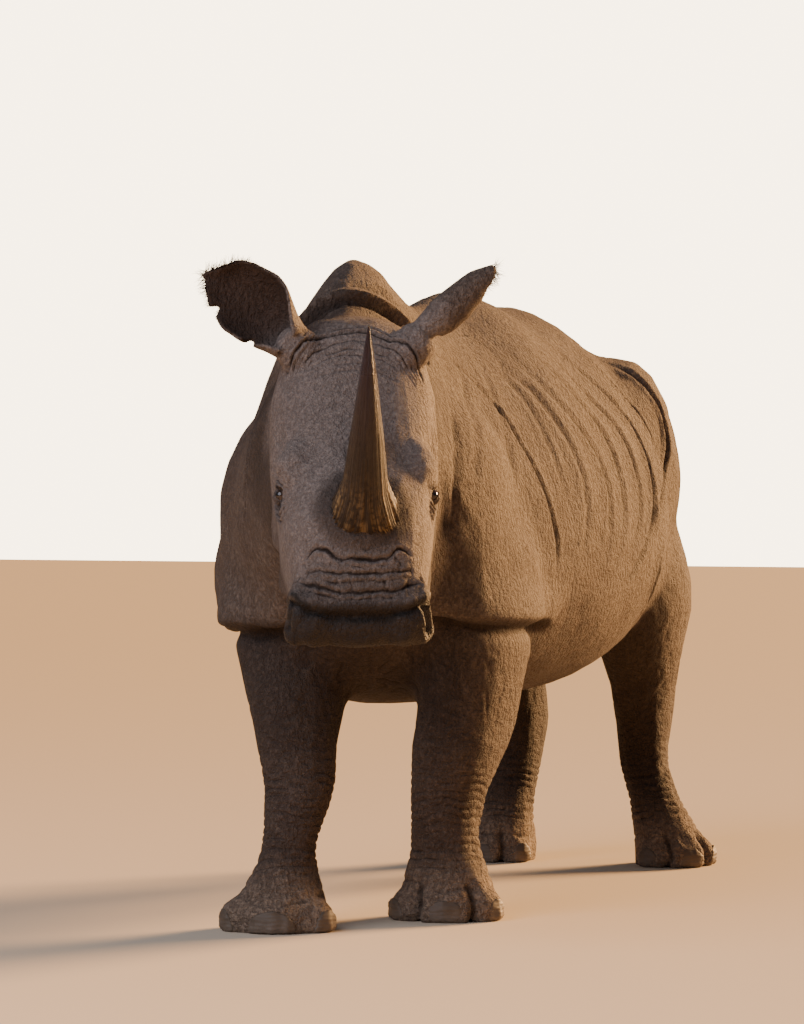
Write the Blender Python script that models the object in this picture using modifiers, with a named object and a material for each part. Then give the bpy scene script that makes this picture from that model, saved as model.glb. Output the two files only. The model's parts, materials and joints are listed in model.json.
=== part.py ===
"""White rhinoceros, life size, walking slowly with its head turned to its left.

The flesh is lofted from a few outlines, grown into one smooth body and then parted into
head, neck, trunk and legs with thin cuts. Ears, tail, horns, eyes and toenails are solids
of their own, each set against the flesh. Metres, +Z up. The animal faces -Y, its left
side is +X and it stands on the floor at Z = 0.
"""

import math
from collections import namedtuple

import bmesh
import bpy
import numpy as np
from mathutils import Matrix, Vector

# Driving dimensions of the animal
GAP = 0.0003  # clearance between neighbouring solids
TRUNK_SIDE = -0.03  # the trunk stands this far to the right of the feet's own middle line
TURN_OF_HEAD = 26.5  # degrees, from straight ahead towards the animal's left
TILT_OF_HEAD = 50.0  # degrees, nose below the poll
HEAD_AT = (-1.44, 1.455, 0.026)  # along the spine, height and side of the head's own origin
EYE_RADIUS = 0.019
EYE_AT = (0.186, 0.405, 0.000)  # side, along the face, above the face's axis
TAIL_LENGTH = 0.62
LEG_CUT = 0.54  # the legs part from the trunk at this height, below the belly
FRONT_LEG_SPLIT = 0.10  # the left foreleg stands to the left of this line
HIND_LEG_SPLIT = 0.02

# How finely the flesh is made
CORE_VOXEL = 0.028
CORE_SMOOTHING = 12
BODY_VOXEL = 0.013
BODY_SMOOTHING = 5
BODY_TRIANGLES = 4000
EAR_VOXEL = 0.005
EAR_TRIANGLES = 300


class Profile:
    """A smooth line through a few points: a size or a height as a function of place."""

    def __init__(self, *points):
        self.places, self.values = np.array(points, float).T
        rises = np.diff(self.values) / np.diff(self.places)
        inner = (rises[:-1] + rises[1:]) / 2
        inner[rises[:-1] * rises[1:] <= 0] = 0.0
        self.slopes = np.concatenate([rises[:1], inner, rises[-1:]])

    def __call__(self, place):
        last = len(self.places) - 2
        i = int(np.clip(np.searchsorted(self.places, place) - 1, 0, last))
        span = self.places[i + 1] - self.places[i]
        t = min(max((place - self.places[i]) / span, 0.0), 1.0)
        start, end = self.values[i], self.values[i + 1]
        bend_in = self.slopes[i] * span * t * (1 - t) ** 2
        bend_out = self.slopes[i + 1] * span * t * t * (1 - t)
        return float(start + (end - start) * t * t * (3 - 2 * t) + bend_in - bend_out)


# Outlines of trunk and neck, along the spine from the neck's front end to the rump
NECK_END, RUMP_END = -1.56, 1.14
BACK_LINE = Profile(
    (-1.56, 1.44), (-1.40, 1.545), (-1.18, 1.665), (-0.99, 1.778), (-0.87, 1.796), (-0.62, 1.705),
    (-0.40, 1.668), (-0.15, 1.730), (0.06, 1.692), (0.40, 1.688), (0.64, 1.615), (0.86, 1.510),
    (1.03, 1.370), (1.14, 1.180),
)
BELLY_LINE = Profile(
    (-1.56, 1.08), (-1.40, 0.96), (-1.24, 0.84), (-1.08, 0.71), (-0.85, 0.595), (-0.45, 0.560),
    (0.0, 0.555), (0.35, 0.590), (0.65, 0.67), (0.90, 0.77), (1.05, 0.88), (1.14, 1.00),
)
HALF_WIDTH = Profile(
    (-1.56, 0.17), (-1.40, 0.21), (-1.18, 0.26), (-0.98, 0.325), (-0.70, 0.395), (-0.35, 0.450),
    (0.0, 0.485), (0.35, 0.462), (0.62, 0.390), (0.86, 0.285), (1.03, 0.190), (1.14, 0.10),
)
WIDEST_HEIGHT = Profile(
    (-1.56, 1.25), (-1.20, 1.17), (-0.90, 1.08), (-0.40, 1.00), (0.10, 0.98), (0.60, 1.06), (1.14, 1.10),
)
TOP_ROUNDNESS = Profile(
    (-1.56, 2.0), (-1.20, 1.55), (-0.90, 1.32), (-0.60, 1.45), (-0.20, 1.70), (0.40, 1.62), (0.80, 1.8),
    (1.14, 2.0),
)
SPINE_HEADING = Profile(
    (-1.50, 27.0), (-1.20, 24.0), (-0.95, 15.0), (-0.70, 5.0), (-0.40, 0.5), (0.0, 0.0), (1.20, 0.0),
)

# Outlines of the head in its own frame, along the face from the poll to the lips
POLL_END, LIP_END = -0.12, 0.795
FACE_LINE = Profile(
    (-0.12, 0.115), (-0.04, 0.155), (0.04, 0.166), (0.13, 0.158), (0.24, 0.140), (0.35, 0.128),
    (0.45, 0.138), (0.55, 0.140), (0.64, 0.112), (0.72, 0.070), (0.795, 0.012),
)
JAW_LINE = Profile(
    (-0.12, -0.22), (0.0, -0.26), (0.12, -0.305), (0.24, -0.315), (0.38, -0.290), (0.55, -0.250),
    (0.70, -0.215), (0.795, -0.140),
)
HEAD_HALF_WIDTH = Profile(
    (-0.12, 0.165), (0.0, 0.194), (0.12, 0.212), (0.26, 0.210), (0.40, 0.198), (0.49, 0.192),
    (0.58, 0.180), (0.67, 0.164), (0.74, 0.158), (0.795, 0.125),
)

# Legs: each row is a height, the leg's middle there from the foot's (side, back) and its half
# widths (across, along); a foot is its place on the floor and the turn of its toes in degrees
LegRow = namedtuple("LegRow", "height side back across along")
LEGS = {
    "leg_front_left": (
        LegRow(-0.05, 0.0, 0.0, 0.115, 0.118), LegRow(0.05, 0.0, 0.0, 0.124, 0.128),
        LegRow(0.12, -0.002, 0.004, 0.108, 0.112), LegRow(0.20, -0.012, 0.008, 0.090, 0.098),
        LegRow(0.32, -0.006, 0.012, 0.094, 0.110), LegRow(0.46, 0.016, 0.045, 0.118, 0.160),
        LegRow(0.60, 0.033, 0.080, 0.122, 0.192), LegRow(0.75, 0.040, 0.100, 0.132, 0.220),
        LegRow(0.90, 0.030, 0.080, 0.140, 0.250), LegRow(1.25, -0.01, 0.040, 0.110, 0.210),
    ),
    "leg_front_right": (
        LegRow(-0.05, 0.0, 0.0, 0.112, 0.115), LegRow(0.05, 0.0, 0.0, 0.120, 0.122),
        LegRow(0.12, 0.004, 0.008, 0.094, 0.102), LegRow(0.21, 0.010, 0.028, 0.068, 0.082),
        LegRow(0.34, 0.014, 0.078, 0.084, 0.102), LegRow(0.48, -0.020, 0.145, 0.096, 0.130),
        LegRow(0.61, -0.060, 0.225, 0.116, 0.180), LegRow(0.75, -0.116, 0.315, 0.130, 0.215),
        LegRow(0.90, -0.170, 0.380, 0.140, 0.245), LegRow(1.25, -0.220, 0.460, 0.110, 0.200),
    ),
    "leg_hind_left": (
        LegRow(-0.05, 0.0, 0.0, 0.100, 0.106), LegRow(0.05, 0.0, 0.0, 0.106, 0.114),
        LegRow(0.12, -0.025, 0.006, 0.092, 0.100), LegRow(0.20, -0.066, 0.034, 0.077, 0.088),
        LegRow(0.31, -0.118, 0.080, 0.075, 0.094), LegRow(0.43, -0.125, 0.100, 0.081, 0.122),
        LegRow(0.55, -0.112, 0.060, 0.090, 0.140), LegRow(0.68, -0.095, -0.010, 0.118, 0.185),
        LegRow(0.85, -0.085, -0.040, 0.140, 0.235), LegRow(1.15, -0.100, -0.060, 0.085, 0.160),
    ),
    "leg_hind_right": (
        LegRow(-0.05, 0.0, 0.0, 0.100, 0.106), LegRow(0.05, 0.0, 0.0, 0.106, 0.114),
        LegRow(0.12, 0.004, 0.006, 0.092, 0.100), LegRow(0.20, 0.012, 0.034, 0.077, 0.088),
        LegRow(0.31, 0.020, 0.080, 0.075, 0.094), LegRow(0.43, 0.022, 0.100, 0.081, 0.122),
        LegRow(0.55, 0.016, 0.060, 0.090, 0.140), LegRow(0.68, 0.010, -0.010, 0.118, 0.185),
        LegRow(0.85, 0.014, -0.040, 0.140, 0.235), LegRow(1.15, 0.030, -0.060, 0.085, 0.160),
    ),
}
FEET = {
    "leg_front_left": (0.255, -0.815, 18),
    "leg_front_right": (-0.040, -1.245, 16),
    "leg_hind_left": (0.285, 0.845, 46),
    "leg_hind_right": (-0.260, 0.790, -6),
}
Toe = namedtuple("Toe", "name yaw out radii")
FRONT_TOES = (
    Toe("right", -62, 0.098, (0.064, 0.066, 0.064)),
    Toe("middle", 0, 0.074, (0.096, 0.078, 0.072)),
    Toe("left", 62, 0.098, (0.064, 0.066, 0.064)),
)
HIND_TOES = (
    Toe("right", -60, 0.078, (0.054, 0.058, 0.060)),
    Toe("middle", 0, 0.066, (0.082, 0.072, 0.068)),
    Toe("left", 60, 0.078, (0.054, 0.058, 0.060)),
)

# Horns: place to the left of and along the face, height above its axis, length, lean of the root away from the
# face's normal (degrees, towards the lips), bend back over the whole length, and half widths
Horn = namedtuple("Horn", "side along above length lean bend across fore_aft")
HORN_FRONT = Horn(
    0.012, 0.545, 0.105, 0.59, 12, 46,
    Profile((0, 0.088), (0.08, 0.082), (0.22, 0.060), (0.5, 0.043), (0.8, 0.021), (1.0, 0.003)),
    Profile((0, 0.100), (0.08, 0.096), (0.22, 0.070), (0.5, 0.048), (0.8, 0.023), (1.0, 0.003)),
)
HORN_REAR = Horn(
    0.012, 0.366, 0.095, 0.15, 2, 14,
    Profile((0, 0.056), (0.3, 0.047), (0.7, 0.029), (1.0, 0.006)),
    Profile((0, 0.064), (0.3, 0.057), (0.7, 0.034), (1.0, 0.006)),
)

# Ears, each on a root at the side of the poll; angles in the head's own frame
Ear = namedtuple("Ear", "side tip_out tip_back turn spread notches")
EARS = {
    "ear_left": Ear(1, 48, 4, 118, 0.70, ()),
    "ear_right": Ear(-1, 43, 4, 6, 1.0, ((-1, 0.45), (-1, 0.16))),
}
EAR_ROOT = (0.176, 0.0, 0.148)  # side, along the face, above the face's axis
EAR_LENGTH = 0.25


def clear_scene():
    for obj in list(bpy.data.objects):
        bpy.data.objects.remove(obj)


# Frames


def rotation(degrees, axis):
    return Matrix.Rotation(math.radians(degrees), 4, axis)


def spine(along):
    """The spine's own frame at a place along it: X to the animal's left, Y backwards, Z up."""
    at = Vector((TRUNK_SIDE, max(along, 0.0), 0))
    steps = math.ceil(max(-along, 0.0) / 0.02)
    for i in range(steps):
        stride = -along / steps
        heading = math.radians(SPINE_HEADING(-stride * (i + 0.5)))
        at += stride * Vector((math.sin(heading), -math.cos(heading), 0))
    return Matrix.Translation(at) @ rotation(SPINE_HEADING(along), "Z")


def head_frame():
    """The head's own frame: X to its left, -Y down the face, Z out of the forehead."""
    neck_end = spine(HEAD_AT[0])
    at = neck_end @ Vector((HEAD_AT[2], 0, HEAD_AT[1]))
    return Matrix.Translation(at) @ rotation(TURN_OF_HEAD, "Z") @ rotation(TILT_OF_HEAD, "X")


def foot_frame(name):
    x, y, yaw = FEET[name]
    return Matrix.Translation((x, y, 0)) @ rotation(yaw, "Z")


def ear_frame(ear):
    """An ear's own frame: Z from root to tip, -Y out of its opening, the root's cut at Z = 0."""
    side, along, above = EAR_ROOT
    at = Matrix.Translation((ear.side * side, -along, above))
    upright = head_frame() @ at @ rotation(-TILT_OF_HEAD, "X")
    leaning = upright @ rotation(ear.side * ear.tip_out, "Y") @ rotation(-ear.tip_back, "X")
    return leaning @ rotation(ear.side * ear.turn, "Z")


# Forms


def section(half_width, high, low, middle, top_roundness, low_roundness, count):
    """Points of an egg-shaped section. A roundness of 2 is an ellipse and more is squarer."""
    points = []
    for i in range(count):
        angle = 2 * math.pi * i / count
        side, rise = math.cos(angle), math.sin(angle)
        power = 2 / (top_roundness if rise >= 0 else low_roundness)
        reach = high - middle if rise >= 0 else middle - low
        x = half_width * math.copysign(abs(side) ** power, side)
        points.append((x, middle + reach * math.copysign(abs(rise) ** power, rise)))
    return points


def loft(body, rings):
    """Adds a closed skin through rings of points, with a flat cap at each end, to a bmesh."""
    layers = [[body.verts.new(point) for point in ring] for ring in rings]
    for lower, upper in zip(layers, layers[1:]):
        for i in range(len(lower)):
            j = (i + 1) % len(lower)
            body.faces.new((lower[i], lower[j], upper[j]))
            body.faces.new((lower[i], upper[j], upper[i]))
    body.faces.new(layers[0][::-1])
    body.faces.new(layers[-1])


def blob(body, frame, at, radii, fine=12):
    """Adds an ellipsoid to a bmesh, for a muscle, a brow or a toe."""
    matrix = frame @ Matrix.Translation(at) @ Matrix.Diagonal((*radii, 1))
    bmesh.ops.create_uvsphere(body, u_segments=2 * fine - 4, v_segments=fine, radius=1, matrix=matrix)


def places(start, end, count):
    return np.linspace(start, end, count).tolist()


def add_torso(body):
    rings = []
    for along in places(NECK_END, RUMP_END, 44):
        outline = section(
            HALF_WIDTH(along), BACK_LINE(along), BELLY_LINE(along), WIDEST_HEIGHT(along),
            TOP_ROUNDNESS(along), 2.2, 40,
        )
        rings.append([spine(along) @ Vector((x, 0, z)) for x, z in outline])
    loft(body, rings)


def add_muscles(body):
    """Shoulder and hip masses, buttocks, and the fold that overhangs each upper foreleg."""
    for side in (1, -1):
        blob(body, spine(-0.74), (side * 0.24, 0, 1.07), (0.165, 0.31, 0.32))
        blob(body, spine(-0.67), (side * 0.31, 0, 0.93), (0.145, 0.255, 0.175))
        blob(body, spine(0.68), (side * 0.205, 0, 1.19), (0.17, 0.28, 0.37))
        blob(body, spine(0.86), (side * 0.138, 0, 0.98), (0.140, 0.20, 0.32))


def add_head(body):
    frame = head_frame()
    rings = []
    for along in places(POLL_END, LIP_END, 24):
        outline = section(
            HEAD_HALF_WIDTH(along), FACE_LINE(along), JAW_LINE(along), -0.055, 2.5, 2.9, 32,
        )
        rings.append([frame @ Vector((x, -along, z)) for x, z in outline])
    loft(body, rings)
    blob(body, frame, (0, -0.722, -0.060), (0.158, 0.105, 0.098))  # muzzle
    blob(body, frame, (0, -0.550, 0.070), (0.108, 0.125, 0.092))  # boss under the front horn
    for side in (1, -1):
        blob(body, frame, (side * 0.146, -0.36, 0.052), (0.050, 0.090, 0.060))  # brow
        blob(body, frame, (side * 0.122, -0.33, -0.165), (0.088, 0.165, 0.115))  # cheek
        blob(body, frame, (side * 0.116, -0.49, -0.150), (0.078, 0.150, 0.088))  # jaw
        blob(body, frame, (side * 0.108, -0.738, -0.050), (0.064, 0.088, 0.090))  # side of the lip
    for ear in EARS.values():
        blob(body, ear_frame(ear), (0, 0, -0.045), (0.056, 0.052, 0.085))  # root of the ear


def add_leg(body, name, low=-1.0, high=9.0):
    rows = LEGS[name]
    side, back, across, along = (Profile(*((row[0], row[i]) for row in rows)) for i in (1, 2, 3, 4))
    x, y, yaw = FEET[name]
    rings = []
    for height in places(max(rows[0].height, low), min(rows[-1].height, high), 24):
        unturned = min(max(height / 0.5, 0.0), 1.0)
        upright = rotation(yaw * (1 - unturned), "Z")
        middle = Vector((x + side(height), y + back(height), height))
        outline = section(across(height), along(height), -along(height), 0.0, 2.2, 2.2, 24)
        rings.append([middle + upright @ Vector((u, v, 0)) for u, v in outline])
    loft(body, rings)


def toes_of(name):
    """Each toe of a foot with its own frame: -Y points out along the toe."""
    for toe in FRONT_TOES if "front" in name else HIND_TOES:
        yield toe, foot_frame(name) @ rotation(toe.yaw, "Z")


def add_toes(body, name):
    for toe, frame in toes_of(name):
        blob(body, frame, (0, -toe.out, 0.028), toe.radii)


# Objects and their modifiers


def mesh_object(name, body, collection):
    bmesh.ops.recalc_face_normals(body, faces=body.faces)
    mesh = bpy.data.meshes.new(name)
    body.to_mesh(mesh)
    body.free()
    obj = bpy.data.objects.new(name, mesh)
    collection.objects.link(obj)
    return obj


def apply_modifiers(obj):
    graph = bpy.context.evaluated_depsgraph_get()
    mesh = bpy.data.meshes.new_from_object(obj.evaluated_get(graph))
    obj.modifiers.clear()
    obj.data = mesh


def grow_together(obj, voxel, smoothing):
    remesh = obj.modifiers.new("grow together", "REMESH")
    remesh.mode = "VOXEL"
    remesh.voxel_size = voxel
    smooth = obj.modifiers.new("smooth", "SMOOTH")
    smooth.factor = 0.5
    smooth.iterations = smoothing
    apply_modifiers(obj)


def thin_out(obj, triangles):
    thin = obj.modifiers.new("thin out", "DECIMATE")
    thin.ratio = triangles / (2 * len(obj.data.polygons))
    apply_modifiers(obj)


def carve(obj, tool, operation):
    """Cuts obj by the tool, which is used up."""
    cut = obj.modifiers.new("cut", "BOOLEAN")
    cut.operation = operation
    cut.solver = "EXACT"
    cut.object = tool
    apply_modifiers(obj)
    bpy.data.objects.remove(tool)


def box(frame, low, high, collection):
    low, high = Vector(low), Vector(high)
    body = bmesh.new()
    matrix = frame @ Matrix.Translation((low + high) / 2) @ Matrix.Diagonal((*(high - low), 1))
    bmesh.ops.create_cube(body, size=1, matrix=matrix)
    return mesh_object("box", body, collection)


def part_off(flesh, name, frame, low, high, collection):
    """Parts what a box holds off the flesh, as an object of its own, with a thin gap."""
    piece = flesh.copy()
    piece.name = name
    collection.objects.link(piece)
    carve(piece, box(frame, low, high, collection), "INTERSECT")
    gap = Vector((GAP, GAP, GAP))
    carve(flesh, box(frame, Vector(low) - gap, Vector(high) + gap, collection), "DIFFERENCE")
    return piece


# Sub-parts


def make_flesh(collection):
    """Trunk, neck, head and legs in one smooth closed mesh that stands on the floor."""
    core = bmesh.new()
    add_torso(core)
    add_muscles(core)
    for name in LEGS:
        add_leg(core, name, low=0.5)
    core = mesh_object("core", core, collection)
    grow_together(core, CORE_VOXEL, CORE_SMOOTHING)
    body = bmesh.new()
    body.from_mesh(core.data)
    bpy.data.objects.remove(core)
    add_head(body)
    for name in LEGS:
        add_leg(body, name, high=0.8)
        add_toes(body, name)
    flesh = mesh_object("trunk", body, collection)
    grow_together(flesh, BODY_VOXEL, BODY_SMOOTHING)
    thin_out(flesh, BODY_TRIANGLES)
    carve(flesh, box(Matrix(), (-1, -2.5, -0.5), (1, 2.5, 0), collection), "DIFFERENCE")
    return flesh


def make_ear(name, ear, collection):
    """A cupped leaf on a short stalk, cut flat where it meets the head."""
    half_width = Profile((0, 0.046), (0.2, 0.064), (0.5, 0.088), (0.72, 0.092), (0.9, 0.062), (1, 0.018))
    half_curl = Profile((0, 165), (0.18, 128), (0.45, 88), (0.75, 62), (1, 35))
    back = Profile((0, 0.036), (0.4, 0.050), (0.8, 0.040), (1, 0.012))
    body = bmesh.new()
    rows = []
    for rise in places(0.0, 1.0, 15):
        curl = math.radians(half_curl(rise)) / ear.spread
        width = half_width(rise) * ear.spread
        radius = width / math.sin(min(curl, math.pi / 2))
        row = []
        for across in places(-1.0, 1.0, 15):
            angle = across * min(curl, math.pi * 0.95)
            y = back(rise) - radius * (1 - math.cos(angle))
            row.append(body.verts.new((radius * math.sin(angle), y, rise * EAR_LENGTH - 0.01)))
        rows.append(row)
    for lower, upper in zip(rows, rows[1:]):
        for i in range(len(lower) - 1):
            body.faces.new((lower[i], lower[i + 1], upper[i + 1], upper[i]))
    obj = mesh_object(name, body, collection)
    thick = obj.modifiers.new("thickness", "SOLIDIFY")
    thick.thickness = 0.013
    thick.offset = 0
    apply_modifiers(obj)
    body = bmesh.new()
    body.from_mesh(obj.data)
    blob(body, Matrix(), (0, 0, -0.005), (0.050, 0.044, 0.042))
    body.to_mesh(obj.data)
    body.free()
    grow_together(obj, EAR_VOXEL, 3)
    thin_out(obj, EAR_TRIANGLES)
    for side, rise in ear.notches:
        nick = bmesh.new()
        x = side * half_width(rise) * 1.02
        bmesh.ops.create_cone(
            nick, segments=10, radius1=0.016, radius2=0.016, depth=0.2, cap_ends=True,
            matrix=Matrix.Translation((x, 0, rise * EAR_LENGTH)) @ rotation(90, "X"),
        )
        carve(obj, mesh_object("nick", nick, collection), "DIFFERENCE")
    carve(obj, box(Matrix(), (-0.2, -0.2, -0.2), (0.2, 0.2, GAP), collection), "DIFFERENCE")
    obj.data.transform(ear_frame(ear))
    return obj


def horn_rings(horn, grow):
    """Rings of a horn that rises from the face and bends back, its root sunk in the skin."""
    frame = head_frame() @ Matrix.Translation((horn.side, -horn.along, horn.above))
    at, rings = Vector((0, 0, 0)), []
    steps = 6 + round(10 * horn.length)
    for i in range(steps + 1):
        share = i / steps
        lean = math.radians(horn.lean - horn.bend * share)
        tangent = Vector((0, -math.sin(lean), math.cos(lean)))
        across, fore_aft = horn.across(share) + grow, horn.fore_aft(share) + grow
        ring = []
        for k in range(12):
            angle = 2 * math.pi * k / 12
            aside = Vector((across * math.cos(angle), 0, 0))
            forward = Vector((0, -tangent.z, tangent.y)) * fore_aft * math.sin(angle)
            ring.append(frame @ (at - tangent * (grow if i == 0 else 0) + aside - forward))
        rings.append(ring)
        at = at + tangent * (horn.length / steps)
    return rings


def make_horn(name, horn, head, collection):
    seat = bmesh.new()
    loft(seat, horn_rings(horn, GAP))
    carve(head, mesh_object("seat", seat, collection), "DIFFERENCE")
    body = bmesh.new()
    loft(body, horn_rings(horn, 0))
    return mesh_object(name, body, collection)


def make_eye(name, side, head, collection):
    place = (side * EYE_AT[0], -EYE_AT[1], EYE_AT[2])
    socket = bmesh.new()
    blob(socket, head_frame(), place, (EYE_RADIUS + 2 * GAP,) * 3, fine=8)
    carve(head, mesh_object("socket", socket, collection), "DIFFERENCE")
    body = bmesh.new()
    blob(body, head_frame(), place, (EYE_RADIUS,) * 3, fine=8)
    return mesh_object(name, body, collection)


def nail_form(toe, frame, grow, collection):
    """A toenail: the lower front of a slightly larger toe, with a rounded upper edge."""
    body = bmesh.new()
    blob(body, frame, (0, -toe.out, 0.028), [radius + 0.006 + grow for radius in toe.radii], fine=9)
    nail = mesh_object("nail", body, collection)
    outline = bmesh.new()
    reach = (0.80 * toe.radii[0] + grow, 0.62 * toe.radii[1] + grow, 0.052 + grow)
    blob(outline, frame, (0, -toe.out - toe.radii[1], 0.010), reach, fine=6)
    carve(nail, mesh_object("outline", outline, collection), "INTERSECT")
    carve(nail, box(frame, (-0.2, -0.3, 0.004 - grow), (0.2, 0.1, 0.1), collection), "INTERSECT")
    return nail


def make_nails(name, leg, collection):
    for toe, frame in toes_of(name):
        carve(leg, nail_form(toe, frame, GAP, collection), "DIFFERENCE")
        nail = nail_form(toe, frame, 0, collection)
        nail.name = f"nail_{name[4:]}_{toe.name}"


def tail_rings(grow):
    """The tail hangs from the end of the spine and flattens towards its tip."""
    root = spine(0.985).translation + Vector((0, 0, 1.335))
    half_width = Profile((0, 0.052), (0.15, 0.040), (0.5, 0.024), (0.85, 0.017), (1, 0.012))
    lean = Profile((0, 62), (0.12, 40), (0.3, 12), (0.6, 4), (1, 2))
    at, rings, steps = root, [], 12
    for i in range(steps + 1):
        share = i / steps
        angle = math.radians(lean(share))
        tangent = Vector((0, math.sin(angle), -math.cos(angle)))
        out = Vector((0, math.cos(angle), math.sin(angle)))
        radius = half_width(share) + grow
        start = at - tangent * (grow if i == 0 else 0)
        ring = []
        for k in range(10):
            angle = 2 * math.pi * k / 10
            aside = Vector((radius * math.cos(angle), 0, 0))
            ring.append(start + aside - out * radius * 0.8 * math.sin(angle))
        rings.append(ring)
        at = at + tangent * (TAIL_LENGTH / steps)
    return rings


def make_tail(trunk, collection):
    seat = bmesh.new()
    loft(seat, tail_rings(GAP))
    carve(trunk, mesh_object("seat", seat, collection), "DIFFERENCE")
    body = bmesh.new()
    loft(body, tail_rings(0))
    return mesh_object("tail", body, collection)


# Materials


def material(name, colour, roughness):
    made = bpy.data.materials.new(name)
    made.use_nodes = True
    shader = made.node_tree.nodes["Principled BSDF"]
    shader.inputs["Base Color"].default_value = (*colour, 1)
    shader.inputs["Roughness"].default_value = roughness
    return made


FINISHES = {
    "hide": ((0.115, 0.082, 0.060), 0.88),
    "horn": ((0.060, 0.036, 0.022), 0.60),
    "eye": ((0.012, 0.007, 0.005), 0.12),
    "nail": ((0.085, 0.062, 0.046), 0.70),
}


def finish(objects):
    """Gives each object its material and shading, and stands the whole on the origin."""
    materials = {name: material(name, *look) for name, look in FINISHES.items()}
    corners = np.array([vertex.co for obj in objects for vertex in obj.data.vertices])
    low, high = corners.min(axis=0).tolist(), corners.max(axis=0).tolist()
    centre = Vector(((low[0] + high[0]) / 2, (low[1] + high[1]) / 2, low[2]))
    for obj in objects:
        kind = obj.name.split("_")[0]
        obj.data.transform(Matrix.Translation(-centre))
        obj.data.materials.clear()
        obj.data.materials.append(materials.get(kind, materials["hide"]))
        obj.data.shade_smooth()


def main():
    clear_scene()
    parts = bpy.data.collections.new("white_rhinoceros")
    bpy.context.scene.collection.children.link(parts)
    trunk = make_flesh(parts)
    poll = Matrix.Translation(head_frame().translation)
    head_cut = poll @ rotation(TURN_OF_HEAD, "Z") @ rotation(18, "X")
    head = part_off(trunk, "head", head_cut, (-0.4, -1.1, -0.66), (0.4, -0.003, 0.4), parts)
    neck_cut = spine(-1.0) @ Matrix.Translation((0, 0, 1.2)) @ rotation(-18, "X")
    part_off(trunk, "neck", neck_cut, (-0.6, -0.9, -0.52), (0.6, 0.0, 0.8), parts)
    for name, (x, y, yaw) in FEET.items():
        split = FRONT_LEG_SPLIT if "front" in name else HIND_LEG_SPLIT
        inner = split if x > 0 else -0.6
        leg = part_off(trunk, name, Matrix(), (inner, y - 0.26, -0.1), (0.6, y + 0.5, LEG_CUT), parts)
        make_nails(name, leg, parts)
    make_horn("horn_front", HORN_FRONT, head, parts)
    make_horn("horn_rear", HORN_REAR, head, parts)
    for side, name in ((1, "eye_left"), (-1, "eye_right")):
        make_eye(name, side, head, parts)
    for name, ear in EARS.items():
        carve(head, box(ear_frame(ear), (-0.09, -0.09, -GAP), (0.09, 0.09, 0.12), parts), "DIFFERENCE")
        make_ear(name, ear, parts)
    make_tail(trunk, parts)
    finish(list(parts.objects))


main()
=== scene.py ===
"""White rhinoceros: hide, horns, eyes, toenails and hair over the solid model."""

import json
import math

import bmesh
import bpy
import numpy as np
from bpy.props import FloatProperty, FloatVectorProperty, IntProperty, PointerProperty
from mathutils import Matrix, Vector
from mathutils.bvhtree import BVHTree

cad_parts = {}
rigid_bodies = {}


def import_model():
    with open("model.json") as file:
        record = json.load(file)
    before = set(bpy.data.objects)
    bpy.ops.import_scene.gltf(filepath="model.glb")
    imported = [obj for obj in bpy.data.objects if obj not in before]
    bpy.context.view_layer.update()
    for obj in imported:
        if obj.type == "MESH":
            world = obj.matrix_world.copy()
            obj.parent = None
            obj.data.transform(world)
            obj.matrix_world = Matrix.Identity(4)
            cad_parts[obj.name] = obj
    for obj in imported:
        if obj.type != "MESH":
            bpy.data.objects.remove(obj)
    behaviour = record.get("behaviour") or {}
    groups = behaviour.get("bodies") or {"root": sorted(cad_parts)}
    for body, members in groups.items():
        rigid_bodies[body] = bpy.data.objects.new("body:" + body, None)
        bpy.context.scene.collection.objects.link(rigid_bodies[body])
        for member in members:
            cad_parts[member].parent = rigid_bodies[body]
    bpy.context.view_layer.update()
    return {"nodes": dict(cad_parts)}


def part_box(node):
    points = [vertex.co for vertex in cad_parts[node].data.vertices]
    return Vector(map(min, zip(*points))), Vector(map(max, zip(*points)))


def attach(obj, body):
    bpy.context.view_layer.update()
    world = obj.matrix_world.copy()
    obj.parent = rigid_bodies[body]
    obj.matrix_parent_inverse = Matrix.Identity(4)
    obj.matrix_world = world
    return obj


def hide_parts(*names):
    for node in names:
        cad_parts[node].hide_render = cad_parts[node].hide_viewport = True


bl_info = {
    "name": "White rhinoceros",
    "version": (1, 0, 0),
    "blender": (4, 5, 0),
    "location": "3D View > Sidebar > Rhinoceros",
    "description": "Dresses the solid model of a white rhinoceros in its hide, horn and hair",
    "category": "Object",
}

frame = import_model()

# ---------------------------------------------------------------- colours


def linear(hex_colour):
    """An sRGB hex colour as linear red, green and blue."""
    values = [int(hex_colour[i : i + 2], 16) / 255 for i in (1, 3, 5)]
    return tuple(v / 12.92 if v <= 0.04045 else ((v + 0.055) / 1.055) ** 2.4 for v in values)


def colour(name, description, hex_colour):
    return FloatVectorProperty(
        name=name, description=description, subtype="COLOR", size=3, min=0, max=1,
        default=linear(hex_colour),
    )


def length(name, description, default, low=0.0, high=2.0):
    return FloatProperty(
        name=name, description=description, default=default, min=low, max=high,
        subtype="DISTANCE", unit="LENGTH",
    )


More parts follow.
